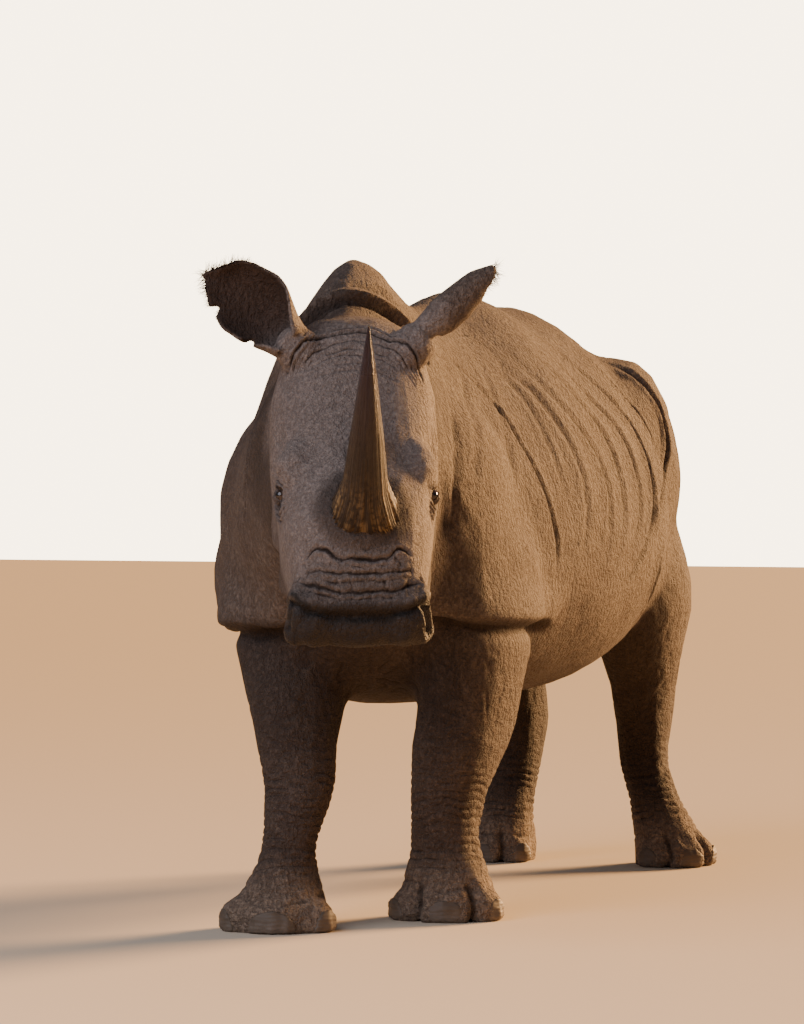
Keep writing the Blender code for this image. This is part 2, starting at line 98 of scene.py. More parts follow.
class HideSettings(bpy.types.PropertyGroup):
    voxel: length("Voxel", "Grain of the mesh that the hide is grown from", 0.0055)
    triangles: IntProperty(name="Triangles", description="Most triangles in the hide", default=190000)
    ear_length: length("Ear length", "Root to tip of an ear", 0.272)
    ear_thickness: length("Ear thickness", "Skin and gristle of an ear", 0.011)
    dusty: colour("Dusty", "Dry hide with dust on it", "#695d53")
    dark: colour("Bare", "Hide where no dust clings", "#54463d")
    powder: colour("Powder", "Palest dust, on the tops of the pebbles", "#97836f")
    face: colour("Face", "Greyer, cleaner hide of the face", "#928882")
    # Crease is painted shade at the bottom of folds, wrinkles and cracks
    crease: colour("Crease", "Bottom of folds and cracks", "#2c211a")
    # Muzzle is damp, dark skin and also painted shade on the lip's front and under the upper lip
    muzzle: colour("Muzzle", "Damp hide round mouth and nostrils", "#1b120c")
    ear_inside: colour("Ear inside", "Bare skin inside the ears", "#3a2a20")
    # Mud is dried mud and also painted shade, darker towards the bottom of the legs
    mud: colour("Mud", "Dried mud on legs and feet", "#43342a")


class HornSettings(bpy.types.PropertyGroup):
    rough: colour("Rough", "Frayed fibres at the root", "#937850")
    body: colour("Body", "Weathered horn", "#1c110a")
    worn: colour("Worn", "Rubbed, dark horn near the tip", "#2a1c24")
    front_length: length("Front length", "Along the front horn's curve", 0.59)
    rear_length: length("Rear length", "Along the rear horn's curve", 0.15)


class EyeSettings(bpy.types.PropertyGroup):
    iris: colour("Iris", "Brown iris", "#2a1a10")
    white: colour("White", "What shows of the eye's white", "#4a3830")
    radius: length("Radius", "Radius of the eyeball", 0.019)


class NailSettings(bpy.types.PropertyGroup):
    horn: colour("Nail", "Toenail horn", "#514538")
    groove: colour("Groove", "Soil in the grooves", "#3d3128")
    worn: colour("Worn edge", "Rubbed lower edge", "#74665a")


class HairSettings(bpy.types.PropertyGroup):
    dark: colour("Hair", "Coarse dark hair", "#150e0a")
    dusty: colour("Dusty hair", "Hair where dust clings", "#5d4a3a")
    fringe_length: length("Fringe length", "Hair along the ears' edges", 0.030)
    tail_length: length("Tail hair", "Bristles of the tail's tip", 0.19)
    lash_length: length("Lash length", "Hairs of the upper lids", 0.016)


class StageSettings(bpy.types.PropertyGroup):
    floor: colour("Floor", "Plain pale floor", "#c9b9a1")
    backdrop: colour("Backdrop", "Plain pale surroundings", "#ffe9c9")
    sky: colour("Sky", "Soft light from all sides", "#dfe2ee")
    focal: FloatProperty(name="Lens", description="Focal length in mm", default=143.09)


# ---------------------------------------------------------------- the animal's own frames

TURN_OF_HEAD = 26.5  # degrees, towards the animal's left
TILT_OF_HEAD = 50.0  # degrees, nose below the poll
EYE_ALONG = 0.405  # the eyes' place along the face, from the poll
EYE_OUT = 0.186  # and out from its middle
MIDDLE = -0.081  # the trunk's middle plane
LEGS = ("leg_front_left", "leg_front_right", "leg_hind_left", "leg_hind_right")
FLESH = ("trunk", "neck", "head", *LEGS, "ear_left", "ear_right", "tail")
NAILS = tuple(sorted(n for n in frame["nodes"] if n.startswith("nail_")))
HIDE_CLEAR, NAIL_CLEAR = 0.0003, 0.0004  # how far soles and nails stay above the floor
NAIL_VOXEL = 0.0028
NAIL_TRIANGLES = 26000
FRINGE_STEP = 0.0009  # between neighbouring hairs on an ear's edge
TAIL_HAIRS = 900
LASHES = 40  # on each upper lid


def centre(name):
    low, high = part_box(name)
    return (Vector(low) + Vector(high)) / 2


def rotation(degrees, axis):
    return Matrix.Rotation(math.radians(degrees), 4, axis)


def head_frame():
    """X to the head's left, -Y down the face from the poll, Z out of the forehead."""
    between_eyes = (centre("eye_left") + centre("eye_right")) / 2
    turned = rotation(TURN_OF_HEAD, "Z") @ rotation(TILT_OF_HEAD, "X")
    return Matrix.Translation(between_eyes) @ turned @ Matrix.Translation((0, EYE_ALONG, 0))


# Ears: side, lean of the tip outwards and back, turn of the opening, how far the leaf is spread,
# how far it is stretched, how far its tip hooks forward, and notches as (edge, place from root to
# tip, depth, half width)
EARS = {
    "ear_left": (1, 48, 4, 118, 0.47, 1.0, 0.0, ((-1, 0.16, 0.30, 0.04),)),
    "ear_right": (-1, 45.5, 4, 6, 1.05, 1.045, 0.044,
        ((-1, 0.69, 0.42, 0.036), (-1, 0.50, -0.10, 0.07), (-1, 0.25, 0.52, 0.040))),
}
EAR_ROOT = (0.176, 0.0, 0.148)


def ear_frame(name):
    """Z from an ear's root to its tip, -Y out of its opening."""
    side, tip_out, tip_back, turn = EARS[name][:4]
    across, along, above = EAR_ROOT
    at = Matrix.Translation((side * across, -along, above))
    leaning = rotation(side * tip_out, "Y") @ rotation(-tip_back, "X") @ rotation(side * turn, "Z")
    return head_frame() @ at @ rotation(-TILT_OF_HEAD, "X") @ leaning


# ---------------------------------------------------------------- meshes and objects


def as_object(name, mesh):
    obj = bpy.data.objects.new(name, mesh)
    bpy.context.scene.collection.objects.link(obj)
    return obj


def from_body(name, body):
    mesh = bpy.data.meshes.new(name)
    body.to_mesh(mesh)
    body.free()
    return mesh


def apply_modifiers(obj):
    graph = bpy.context.evaluated_depsgraph_get()
    mesh = bpy.data.meshes.new_from_object(obj.evaluated_get(graph))
    obj.modifiers.clear()
    obj.data = mesh


def read(items, name, width=3):
    values = np.empty(len(items) * width)
    items.foreach_get(name, values)
    return values.reshape(-1, width) if width > 1 else values


def clear_stage():
    """Removes the cameras and lights that are there at the start."""
    for obj in list(bpy.data.objects):
        if obj.type in {"CAMERA", "LIGHT"}:
            bpy.data.objects.remove(obj)


def node_body(body, name, swell):
    """Adds a welded, slightly swollen copy of a node to a bmesh."""
    piece = bmesh.new()
    piece.from_mesh(frame["nodes"][name].data)
    bmesh.ops.remove_doubles(piece, verts=piece.verts, dist=1e-5)
    piece.normal_update()
    for vert in piece.verts:
        vert.co += vert.normal * swell
    mesh = from_body(name, piece)
    body.from_mesh(mesh)
    bpy.data.meshes.remove(mesh)


def smooth_line(points, count):
    """A smooth curve through a few points, as count places."""
    points = np.array(points, float)
    ends = np.vstack([2 * points[0] - points[1], points, 2 * points[-1] - points[-2]])
    where = np.linspace(0, len(points) - 1 - 1e-9, count)
    i = where.astype(int)
    t = (where - i)[:, None]
    a, b, c, d = ends[i], ends[i + 1], ends[i + 2], ends[i + 3]
    return b + 0.5 * t * (c - a + t * (2 * a - 5 * b + 4 * c - d + t * (3 * (b - c) + d - a)))


def bell(away, width):
    """1 at no distance, falling smoothly to almost nothing at twice the width."""
    return np.exp(-((away / width) ** 2))


class Surface:
    """A mesh whose points are moved by numpy."""

    def __init__(self, mesh):
        self.mesh = mesh
        self.at = read(mesh.vertices, "co")
        self.edges = np.empty(len(mesh.edges) * 2, np.int64)
        mesh.edges.foreach_get("vertices", self.edges)
        self.edges = self.edges.reshape(-1, 2)
        self.count = np.bincount(self.edges.ravel(), minlength=len(self.at))[:, None]
        self.shift = np.zeros(len(self.at))
        self.tree = None

    def write(self):
        self.mesh.vertices.foreach_set("co", self.at.ravel())
        self.mesh.update()

    def normals(self):
        self.write()
        return read(self.mesh.vertex_normals, "vector")

    def step(self, weight):
        a, b = self.edges.T
        drift = np.empty_like(self.at)
        for k in range(3):
            x = self.at[:, k]
            total = np.bincount(a, x[b], len(x)) + np.bincount(b, x[a], len(x))
            drift[:, k] = total / self.count[:, 0] - x
        self.at += drift * weight

    def relax(self, weight, rounds):
        """Smooths away facets without shrinking the form."""
        weight = np.broadcast_to(np.asarray(weight, float).reshape(-1, 1), (len(self.at), 1))
        for _ in range(rounds):
            self.step(weight)
            self.step(-1.02 * weight)

    def settle(self):
        """Moves every point out by the sum of the shifts asked for."""
        self.at += self.normals() * self.shift[:, None]
        self.shift[:] = 0

    def away(self, place):
        """Each point's distance to a place."""
        return np.linalg.norm(self.at - np.array(place), axis=1)

    def snap(self, line):
        """Lays a line on the surface."""
        if self.tree is None:
            self.write()
            faces = [tuple(p.vertices) for p in self.mesh.polygons]
            self.tree = BVHTree.FromPolygons(self.at.tolist(), faces)
        return np.array([self.tree.find_nearest(Vector(p))[0] for p in line.tolist()])

    def near(self, line, reach):
        """Points within reach of a line: which, how far, by what offset, and how far along it."""
        low, high = line.min(axis=0) - reach, line.max(axis=0) + reach
        which = np.flatnonzero(np.all((self.at > low) & (self.at < high), axis=1))
        points = self.at[which]
        best = np.full(len(which), 1e9)
        offset = np.zeros((len(which), 3))
        share = np.zeros(len(which))
        pieces = len(line) - 1
        for i in range(pieces):
            span = line[i + 1] - line[i]
            t = np.clip((points - line[i]) @ span / max(span @ span, 1e-12), 0, 1)
            away = points - line[i] - t[:, None] * span
            far = np.linalg.norm(away, axis=1)
            closer = far < best
            best[closer] = far[closer]
            offset[closer] = away[closer]
            share[closer] = ((i + t) / pieces)[closer]
        close = best < reach
        return which[close], best[close], offset[close], share[close]

    def crease(self, points, depth, width, lips=0.5, fade=0.2, snap=True):
        """A groove with raised lips along a line."""
        line = smooth_line(points, 6 * len(points))
        line = self.snap(line) if snap else line
        which, far, _, share = self.near(line, 3.2 * width)
        ends = np.clip(np.minimum(share, 1 - share) / fade, 0, 1) ** 0.7
        lip = lips * bell(far - 1.6 * width, 0.8 * width)
        self.shift[which] += depth * ends * (lip - bell(far, width))

    def roll(self, points, rise, above, below, up=(0, 0, 1), droop=0.0, fade=0.2, snap=True):
        """A fold that swells towards a line from above and breaks off sharply below it."""
        line = smooth_line(points, 8 * len(points))
        line = self.snap(line) if snap else line
        up = np.array(up, float)
        which, far, offset, share = self.near(line, 2.6 * above)
        side = offset @ up
        ends = np.clip(np.minimum(share, 1 - share) / fade, 0, 1) ** 0.7
        reach = np.where(side >= 0, above, below)
        form = bell(far, reach) - 0.45 * bell(side + 1.6 * below, below) * (side < 0)
        self.shift[which] += rise * ends * form
        sag = droop * ends * bell(far, 0.6 * above)
        self.at[which] -= sag[:, None] * up


# ---------------------------------------------------------------- the hide's form


def smoothed(values, rounds=3):
    for _ in range(rounds):
        values[1:-1] = (values[:-2] + 2 * values[1:-1] + values[2:]) / 4
    return values


def leaf_grid(name, settings):
    """Rows of places from an ear's root to its tip, each row from one edge of the leaf to the other."""
    side, _, _, _, spread, stretch, hook, notches = EARS[name]
    rises = np.linspace(0, 1, 46)
    along = (0, 0.1, 0.2, 0.35, 0.5, 0.72, 0.84, 0.93, 0.98, 1)
    widths = (0.046, 0.053, 0.066, 0.084, 0.090, 0.078, 0.058, 0.038, 0.022, 0.010)
    half = smoothed(np.interp(rises, along, widths))
    curl = smoothed(np.interp(rises, (0, 0.18, 0.45, 0.75, 1), (160, 128, 88, 62, 40)) / spread)
    back = smoothed(np.interp(rises, (0, 0.4, 0.8, 1), (0.036, 0.050, 0.040, 0.016)))
    half *= 1 - 12 * hook * blend(rises, 0.84, 1.0)
    aside = side * hook * blend(rises, 0.80, 1.08)
    grid = np.empty((len(rises), 34, 3))
    for row, rise in enumerate(rises):
        turn = min(math.radians(curl[row]), math.pi * 0.95)
        radius = half[row] * spread / math.sin(min(turn, math.pi / 2))
        for column, across in enumerate(np.linspace(-1, 1, grid.shape[1])):
            cut = 1.0
            for edge, at, bite, half_gap in notches:
                if across * edge > 0:
                    cut -= bite * bell(rise - at, half_gap)
            flutter = 0.004 * math.sin(9 * rise + 2 * side) * abs(across) ** 3
            angle = across * turn * cut
            grid[row, column] = (
                radius * math.sin(angle) + flutter + aside[row],
                back[row] - radius * (1 - math.cos(angle)) + flutter,
                rise * settings.ear_length * stretch - 0.02,
            )
    return grid


def grid_mesh(name, grid):
    body = bmesh.new()
    rows = [[body.verts.new(point) for point in row] for row in grid.tolist()]
    for lower, upper in zip(rows, rows[1:]):
        for i in range(len(lower) - 1):
            body.faces.new((lower[i], lower[i + 1], upper[i + 1], upper[i]))
    return from_body(name, body)


def ear_leaf(name, settings):
    """A cupped leaf with its own thickness, as a mesh in place."""
    obj = as_object(name, grid_mesh(name, leaf_grid(name, settings)))
    thick = obj.modifiers.new("thickness", "SOLIDIFY")
    thick.thickness = settings.ear_thickness
    thick.offset = 0
    apply_modifiers(obj)
    obj.data.transform(ear_frame(name))
    mesh = obj.data
    bpy.data.objects.remove(obj)
    return mesh


def ellipsoid(body, matrix, at, radii):
    placed = matrix @ Matrix.Translation(at) @ Matrix.Diagonal((*radii, 1))
    bmesh.ops.create_uvsphere(body, u_segments=32, v_segments=20, radius=1, matrix=placed)


def grown_flesh(settings):
    """Flesh and ears grown into one closed mesh, with the seats of nails, horns and eyes filled."""
    body = bmesh.new()
    for name in FLESH:
        if name not in EARS:
            node_body(body, name, 0.003)
    for name in NAILS:
        node_body(body, name, -0.004)
    for name in EARS:
        leaf = ear_leaf(name, settings)
        body.from_mesh(leaf)
        bpy.data.meshes.remove(leaf)
        ellipsoid(body, ear_frame(name), (0, 0.012, -0.020), (0.048, 0.040, 0.036))
    head = head_frame()
    ellipsoid(body, head, (0.012, -0.545, 0.112), (0.088, 0.102, 0.036))
    ellipsoid(body, head, (0.012, -0.366, 0.100), (0.060, 0.066, 0.030))
    for side in (1, -1):
        ellipsoid(body, head, (side * 0.184, -EYE_ALONG, 0), (0.020, 0.020, 0.020))
    obj = as_object("hide", from_body("hide", body))
    remesh = obj.modifiers.new("grow together", "REMESH")
    remesh.mode = "VOXEL"
    remesh.voxel_size = settings.voxel
    apply_modifiers(obj)
    return obj


def in_frame(points, matrix):
    back = np.array(matrix.inverted())
    return points @ back[:3, :3].T + back[:3, 3]


def blend(value, low, high):
    t = np.clip((value - low) / (high - low), 0, 1)
    return t * t * (3 - 2 * t)


def regions(points):
    """How much each point belongs to the head, an ear or a foot."""
    head = in_frame(points, head_frame())
    on_head = blend(-head[:, 1], -0.06, 0.06) * (np.abs(head[:, 0]) < 0.30) * (head[:, 2] > -0.36)
    on_ear = np.zeros(len(points))
    for name in EARS:
        ear = in_frame(points, ear_frame(name))
        close = np.linalg.norm(ear[:, :2], axis=1) < 0.13
        on_ear = np.maximum(on_ear, blend(ear[:, 2], -0.02, 0.03) * close)
    low = 1 - blend(points[:, 2], 0.10, 0.30)
    return on_head, on_ear, low


def ripple(points, wavelength, seed, waves=14):
    """Smooth, seeded unevenness between about -1 and 1."""
    rng = np.random.default_rng(seed)
    total = np.zeros(len(points))
    for _ in range(waves):
        direction = rng.normal(size=3)
        direction /= np.linalg.norm(direction)
        turns = 2 * math.pi / (wavelength * rng.uniform(0.75, 1.5))
        total += np.sin(points @ direction * turns + rng.uniform(0, 2 * math.pi))
    return total / math.sqrt(waves)


def web(points, wavelength, seed, width):
    """A seeded net of thin lines, 1 on a line and 0 off it, all about as wide."""
    value = ripple(points, wavelength, seed)
    reach = 0.002
    rises = [ripple(points + step, wavelength, seed) - value for step in reach * np.eye(3)]
    slope = np.linalg.norm(rises, axis=0) / reach
    steep = slope * wavelength / (2 * math.pi)
    return bell(value / np.maximum(slope, 1e-6), width) * blend(steep, 0.25, 0.55)


def groove(offset, width):
    """The section of a wrinkle: a narrow cut with a rounded swelling on each side."""
    return bell(offset, width) - 0.45 * bell(np.abs(offset) - 2.0 * width, 1.2 * width)


def curve_at(x, points):
    """A smooth line's height at x, through a few (x, height) points."""
    places, heights = np.array(points, float).T
    fine = smooth_line(np.stack([places, heights], axis=1), 80)
    return np.interp(x, fine[:, 0], fine[:, 1])


def across_fold(hide, x, s, mask, points, depth, width, lips=0.45):
    """A fold across the face that follows s as a function of x, dying out at both ends."""
    low, high = points[0][0], points[-1][0]
    ends = blend(x, low - 0.012, low + 0.018) * (1 - blend(x, high - 0.018, high + 0.012))
    offset = s - curve_at(x, points)
    cut = bell(offset, width)
    lip = lips * bell(np.abs(offset) - 2.0 * width, 1.2 * width)
    hide.shift -= depth * (cut - lip) * ends * mask


def face_details(hide, head):
    """Folds of nose and forehead, pad, lips, nostrils and brow, in the head's own frame."""
    local = in_frame(hide.at, head)
    x, s, z = local[:, 0], -local[:, 1], local[:, 2]
    side = np.abs(x)
    on_face = (side < 0.26) * (s > -0.2) * (s < 0.9) * (z > -0.36)
    front = blend(z, -0.05, 0.0) * on_face
    # Folds across the nose between horn and pad; the first is the deepest and curls up at its ends
    wander = 0.0010 * np.sin(52 * x + 40 * s) + 0.0008 * np.sin(170 * x + 90 * s)
    wavy = s + wander + 0.0020 * ripple(local, 0.055, 42)
    patchy = np.clip(0.92 + 0.30 * ripple(local, 0.07, 41), 0.3, 1.3)
    for points, depth, width in (
        (((-0.128, 0.655), (-0.110, 0.643), (-0.085, 0.652), (-0.036, 0.683), (0.062, 0.677),
            (0.095, 0.648), (0.124, 0.655)), 0.0095, 0.0050),
        (((-0.128, 0.690), (-0.024, 0.714), (0.090, 0.704), (0.130, 0.688)), 0.0060, 0.0044),
        (((-0.145, 0.708), (-0.085, 0.741), (-0.037, 0.752), (0.086, 0.746), (0.145, 0.706)),
            0.0064, 0.0044),
        (((-0.090, 0.727), (-0.030, 0.733), (0.010, 0.729)), 0.0024, 0.0034),
        (((0.030, 0.727), (0.070, 0.726), (0.115, 0.712)), 0.0024, 0.0034),
        (((-0.120, 0.742), (-0.060, 0.764), (0.060, 0.763), (0.120, 0.742)), 0.0028, 0.0036),
        (((-0.075, 0.668), (-0.020, 0.699), (0.050, 0.694), (0.085, 0.672)), 0.0018, 0.0036),
        (((-0.100, 0.703), (-0.060, 0.709), (-0.030, 0.704)), 0.0018, 0.0034),
    ):
        across_fold(hide, x, wavy, front * patchy, points, depth, width, lips=0.35)
    # Short cuts down the nose that break the folds up
    for at, place, slant in (
        (0.088, 0.668, 0.3), (0.100, 0.690, -0.2), (-0.020, 0.742, 0.3), (0.030, 0.755, -0.4),
        (-0.060, 0.735, -0.5), (0.060, 0.730, 0.5), (-0.105, 0.730, 0.6), (0.110, 0.735, -0.6),
    ):
        cut = bell(x - at - slant * (s - place), 0.0036) * bell(s - place, 0.016)
        hide.shift -= 0.0034 * cut * front
    pad = blend(s, 0.63, 0.68) * (1 - blend(s, 0.765, 0.79)) * front * (side < 0.15)
    hide.shift -= 0.0018 * pad * web(local, 0.040, 43, 0.0022)
    # Pad: the nose ends in a raised rim that bows down over the lip, with a rolled wing at each corner
    rim = (
        (-0.175, 0.715), (-0.150, 0.752), (-0.115, 0.778), (0, 0.786), (0.115, 0.776),
        (0.150, 0.750), (0.175, 0.712),
    )
    offset = s - curve_at(x, rim)
    hide.shift += 0.0070 * bell(offset + 0.006, 0.014) * front
    hide.shift -= 0.0130 * bell(offset - 0.014, 0.0085) * blend(z, -0.06, -0.02) * on_face * (side < 0.165)
    for sign in (1, -1):
        wing = bell(x - sign * 0.150, 0.016) * bell(s - 0.722, 0.030) * bell(z - 0.010, 0.03)
        hide.shift += 0.012 * wing
        hide.shift -= 0.007 * bell(x - sign * 0.124, 0.009) * bell(s - 0.725, 0.028) * front
    # Upper lip: broad and square, full at its lower corners, over a lower lip that is set back
    lip = blend(s, 0.74, 0.79) * on_face
    hide.shift += 0.006 * bell(z + 0.045, 0.026) * lip * (side < 0.15)
    hide.shift -= 0.0012 * lip * web(local * np.array([1.6, 1, 0.6]), 0.030, 44, 0.0022) * (z > -0.14)
    for sign in (1, -1):
        corner = bell(x - sign * 0.158, 0.024) * bell(s - 0.775, 0.05) * bell(z + 0.078, 0.024)
        hide.shift += 0.016 * corner
    chin = (1 - blend(z, -0.115, -0.092)) * blend(s, 0.62, 0.72) * on_face * (z > -0.30)
    hide.shift -= 0.016 * chin
    hide.shift -= 0.016 * bell(z + 0.098, 0.009) * blend(s, 0.66, 0.74) * on_face
    # Forehead: one long arc from ear to ear, fine lines under it
    brow_mask = (z > 0.03) * on_face
    for points, depth, width in (
        (((-0.170, 0.085), (-0.140, 0.055), (-0.089, 0.020), (-0.025, 0.004), (0.039, 0.006),
            (0.114, 0.042), (0.150, 0.070), (0.172, 0.105)), 0.0072, 0.0050),
        (((-0.130, 0.085), (-0.070, 0.048), (0.0, 0.034), (0.080, 0.050), (0.135, 0.095)), 0.0028, 0.0038),
        (((-0.100, 0.028), (-0.040, -0.012), (0.050, -0.012), (0.110, 0.022)), 0.0032, 0.0040),
        (((-0.080, 0.078), (0.0, 0.060), (0.080, 0.080)), 0.0023, 0.0036),
        (((-0.120, 0.108), (-0.050, 0.082), (0.040, 0.084), (0.110, 0.112)), 0.0023, 0.0036),
        (((-0.060, 0.112), (0.010, 0.104), (0.070, 0.116)), 0.0019, 0.0036),
        (((-0.100, 0.140), (-0.020, 0.126), (0.060, 0.132), (0.110, 0.150)), 0.0017, 0.0036),
    ):
        across_fold(hide, x, s + 1.4 * wander, brow_mask, points, depth, width)
    # The cheeks stand clear of the neck, which falls back behind them from the ear to the jaw
    half = np.interp(
        s, (-0.02, 0.12, 0.26, 0.40, 0.49, 0.58, 0.67), (0.205, 0.216, 0.214, 0.202, 0.196, 0.184, 0.168)
    )
    valley = blend(side, half - 0.020, half + 0.012) * (1 - blend(side, half + 0.030, half + 0.130))
    valley *= blend(z, -0.55, -0.40) * (1 - blend(z, -0.10, 0.0))
    valley *= blend(s, -0.02, 0.10) * (1 - blend(s, 0.55, 0.70))
    hide.at -= 0.070 * valley[:, None] * np.array(head.to_3x3().col[2])
    # Behind the crown the skin dips into the neck
    hide.shift -= 0.012 * bell(s + 0.110, 0.030) * (side < 0.13) * (z > -0.02)
    for sign in (1, -1):
        def at(across, along, above):
            return tuple(head @ Vector((sign * across, -along, above)))

        # Creases that sweep round the root of the ear and down its side of the forehead
        for step in range(6):
            out = 0.012 * step
            hide.crease(
                [at(0.120 - out * 0.9, -0.015 + out * 0.6, 0.16),
                    at(0.148 - out * 0.6, 0.035 + out * 0.9, 0.15),
                    at(0.176 - out * 0.3, 0.085 + out, 0.12), at(0.196, 0.140 + out, 0.08)],
                0.0020 - 0.0002 * step, 0.0036, lips=0.5,
            )
        # Skin folds down the cheek behind the eye
        for step in range(4):
            along = 0.16 + 0.045 * step
            hide.crease(
                [at(0.212, along - 0.05, 0.05), at(0.216, along, -0.02), at(0.212, along + 0.05, -0.10)],
                0.0026, 0.0070, lips=0.6,
            )
        # Brow above the eye, with a hollow behind and inside it
        for centre_of, rise, wide in (
            ((0.172, EYE_ALONG - 0.045, 0.060), 0.012, 0.036),
            ((0.205, EYE_ALONG - 0.125, 0.045), -0.008, 0.050),
            ((0.110, EYE_ALONG - 0.030, 0.125), -0.005, 0.050),
            ((0.190, EYE_ALONG + 0.070, -0.020), -0.004, 0.040),
        ):
            hide.shift += rise * bell(hide.away(at(*centre_of)), wide)
        # Nostril: an upright, deep slit at the corner of the muzzle, with a swollen rim
        nostril = np.array(at(0.152 + 0.004 * sign, 0.772, -0.036))
        along_slit = np.array(head.to_3x3() @ Vector((0, -0.30, -0.954)))
        away = hide.at - nostril
        lengthwise = away @ along_slit
        across = np.sqrt(np.maximum((away * away).sum(axis=1) - lengthwise**2, 0))
        oval = np.sqrt((lengthwise / 0.032) ** 2 + (across / 0.015) ** 2)
        hide.shift += 0.009 * bell(oval - 1.55, 0.55)
        hide.shift -= 0.026 * np.exp(-(oval**3.0))
        # Fold from the nostril's wing back over the cheek
        hide.crease(
            [at(0.150, 0.690, 0.040), at(0.170, 0.705, 0.000), at(0.178, 0.712, -0.050),
                at(0.176, 0.700, -0.095)], 0.007, 0.007, lips=0.7
        )
        # Lines under, before and behind the eye
        for gap, depth in ((0.030, 0.0060), (0.041, 0.0065), (0.054, 0.0060), (0.070, 0.0045)):
            hide.crease(
                [at(0.20, EYE_ALONG - 0.02, -gap), at(0.20, EYE_ALONG + 0.25 * gap, -gap * 0.9),
                    at(0.185, EYE_ALONG + gap + 0.016, 0.0), at(0.165, EYE_ALONG + gap + 0.010, 0.035)],
                depth, 0.0038, lips=0.7,
            )
        for gap, depth in ((0.026, 0.0070), (0.037, 0.0060)):
            hide.crease(
                [at(0.20, EYE_ALONG - gap, -0.015), at(0.19, EYE_ALONG - gap, 0.018),
                    at(0.175, EYE_ALONG - 0.5 * gap, gap + 0.005),
                    at(0.165, EYE_ALONG + 0.5 * gap, gap + 0.012)],
                depth, 0.0036, lips=0.7,
            )


def eye_axes(head, sign):
    """Which way an eye looks, the run of its lids, and the way up across them."""
    gaze = Vector((sign * 0.66, -0.34, 0.67)).normalized()
    slit = Vector((-sign * 0.42, -0.86, -0.10))
    slit = (slit - gaze * slit.dot(gaze)).normalized()
    up = gaze.cross(slit) * (1 if gaze.cross(slit).z > 0 else -1)
    turned = head.to_3x3()
    return [np.array(turned @ v) for v in (gaze, slit, up)]


def lids(hide, head, radius):
    """Wraps thick lids over each eyeball and leaves an almond open between them."""
    for sign in (1, -1):
        eye = np.array(head @ Vector((sign * EYE_OUT, -EYE_ALONG, 0)))
        gaze, slit, up = eye_axes(head, sign)
        away = hide.at - eye
        near = np.flatnonzero(np.linalg.norm(away, axis=1) < 0.060)
        away = away[near]
        far = np.linalg.norm(away, axis=1)
        unit = away / far[:, None]
        u, v, facing = unit @ slit, unit @ up, unit @ gaze
        bow = v - 0.10 * (1 - (u / 0.8) ** 2)
        almond = np.sqrt((u / 0.86) ** 2 + (bow / np.where(bow > 0, 0.42, 0.48)) ** 2) + 3 * (facing < 0.1)
        lid = radius + 0.0035 + 0.0035 * bell(almond - 1.9, 0.35) - 0.003 * bell(almond - 1.45, 0.16)
        held = 1 - blend(almond, 2.3, 3.0)
        wrapped = far + held * (lid - far) * (far < radius + 0.022)
        open_part = 1 - blend(almond, 0.92, 1.06)
        wrapped = wrapped * (1 - open_part) + (radius - 0.004) * open_part
        hide.at[near] = eye + unit * wrapped[:, None]


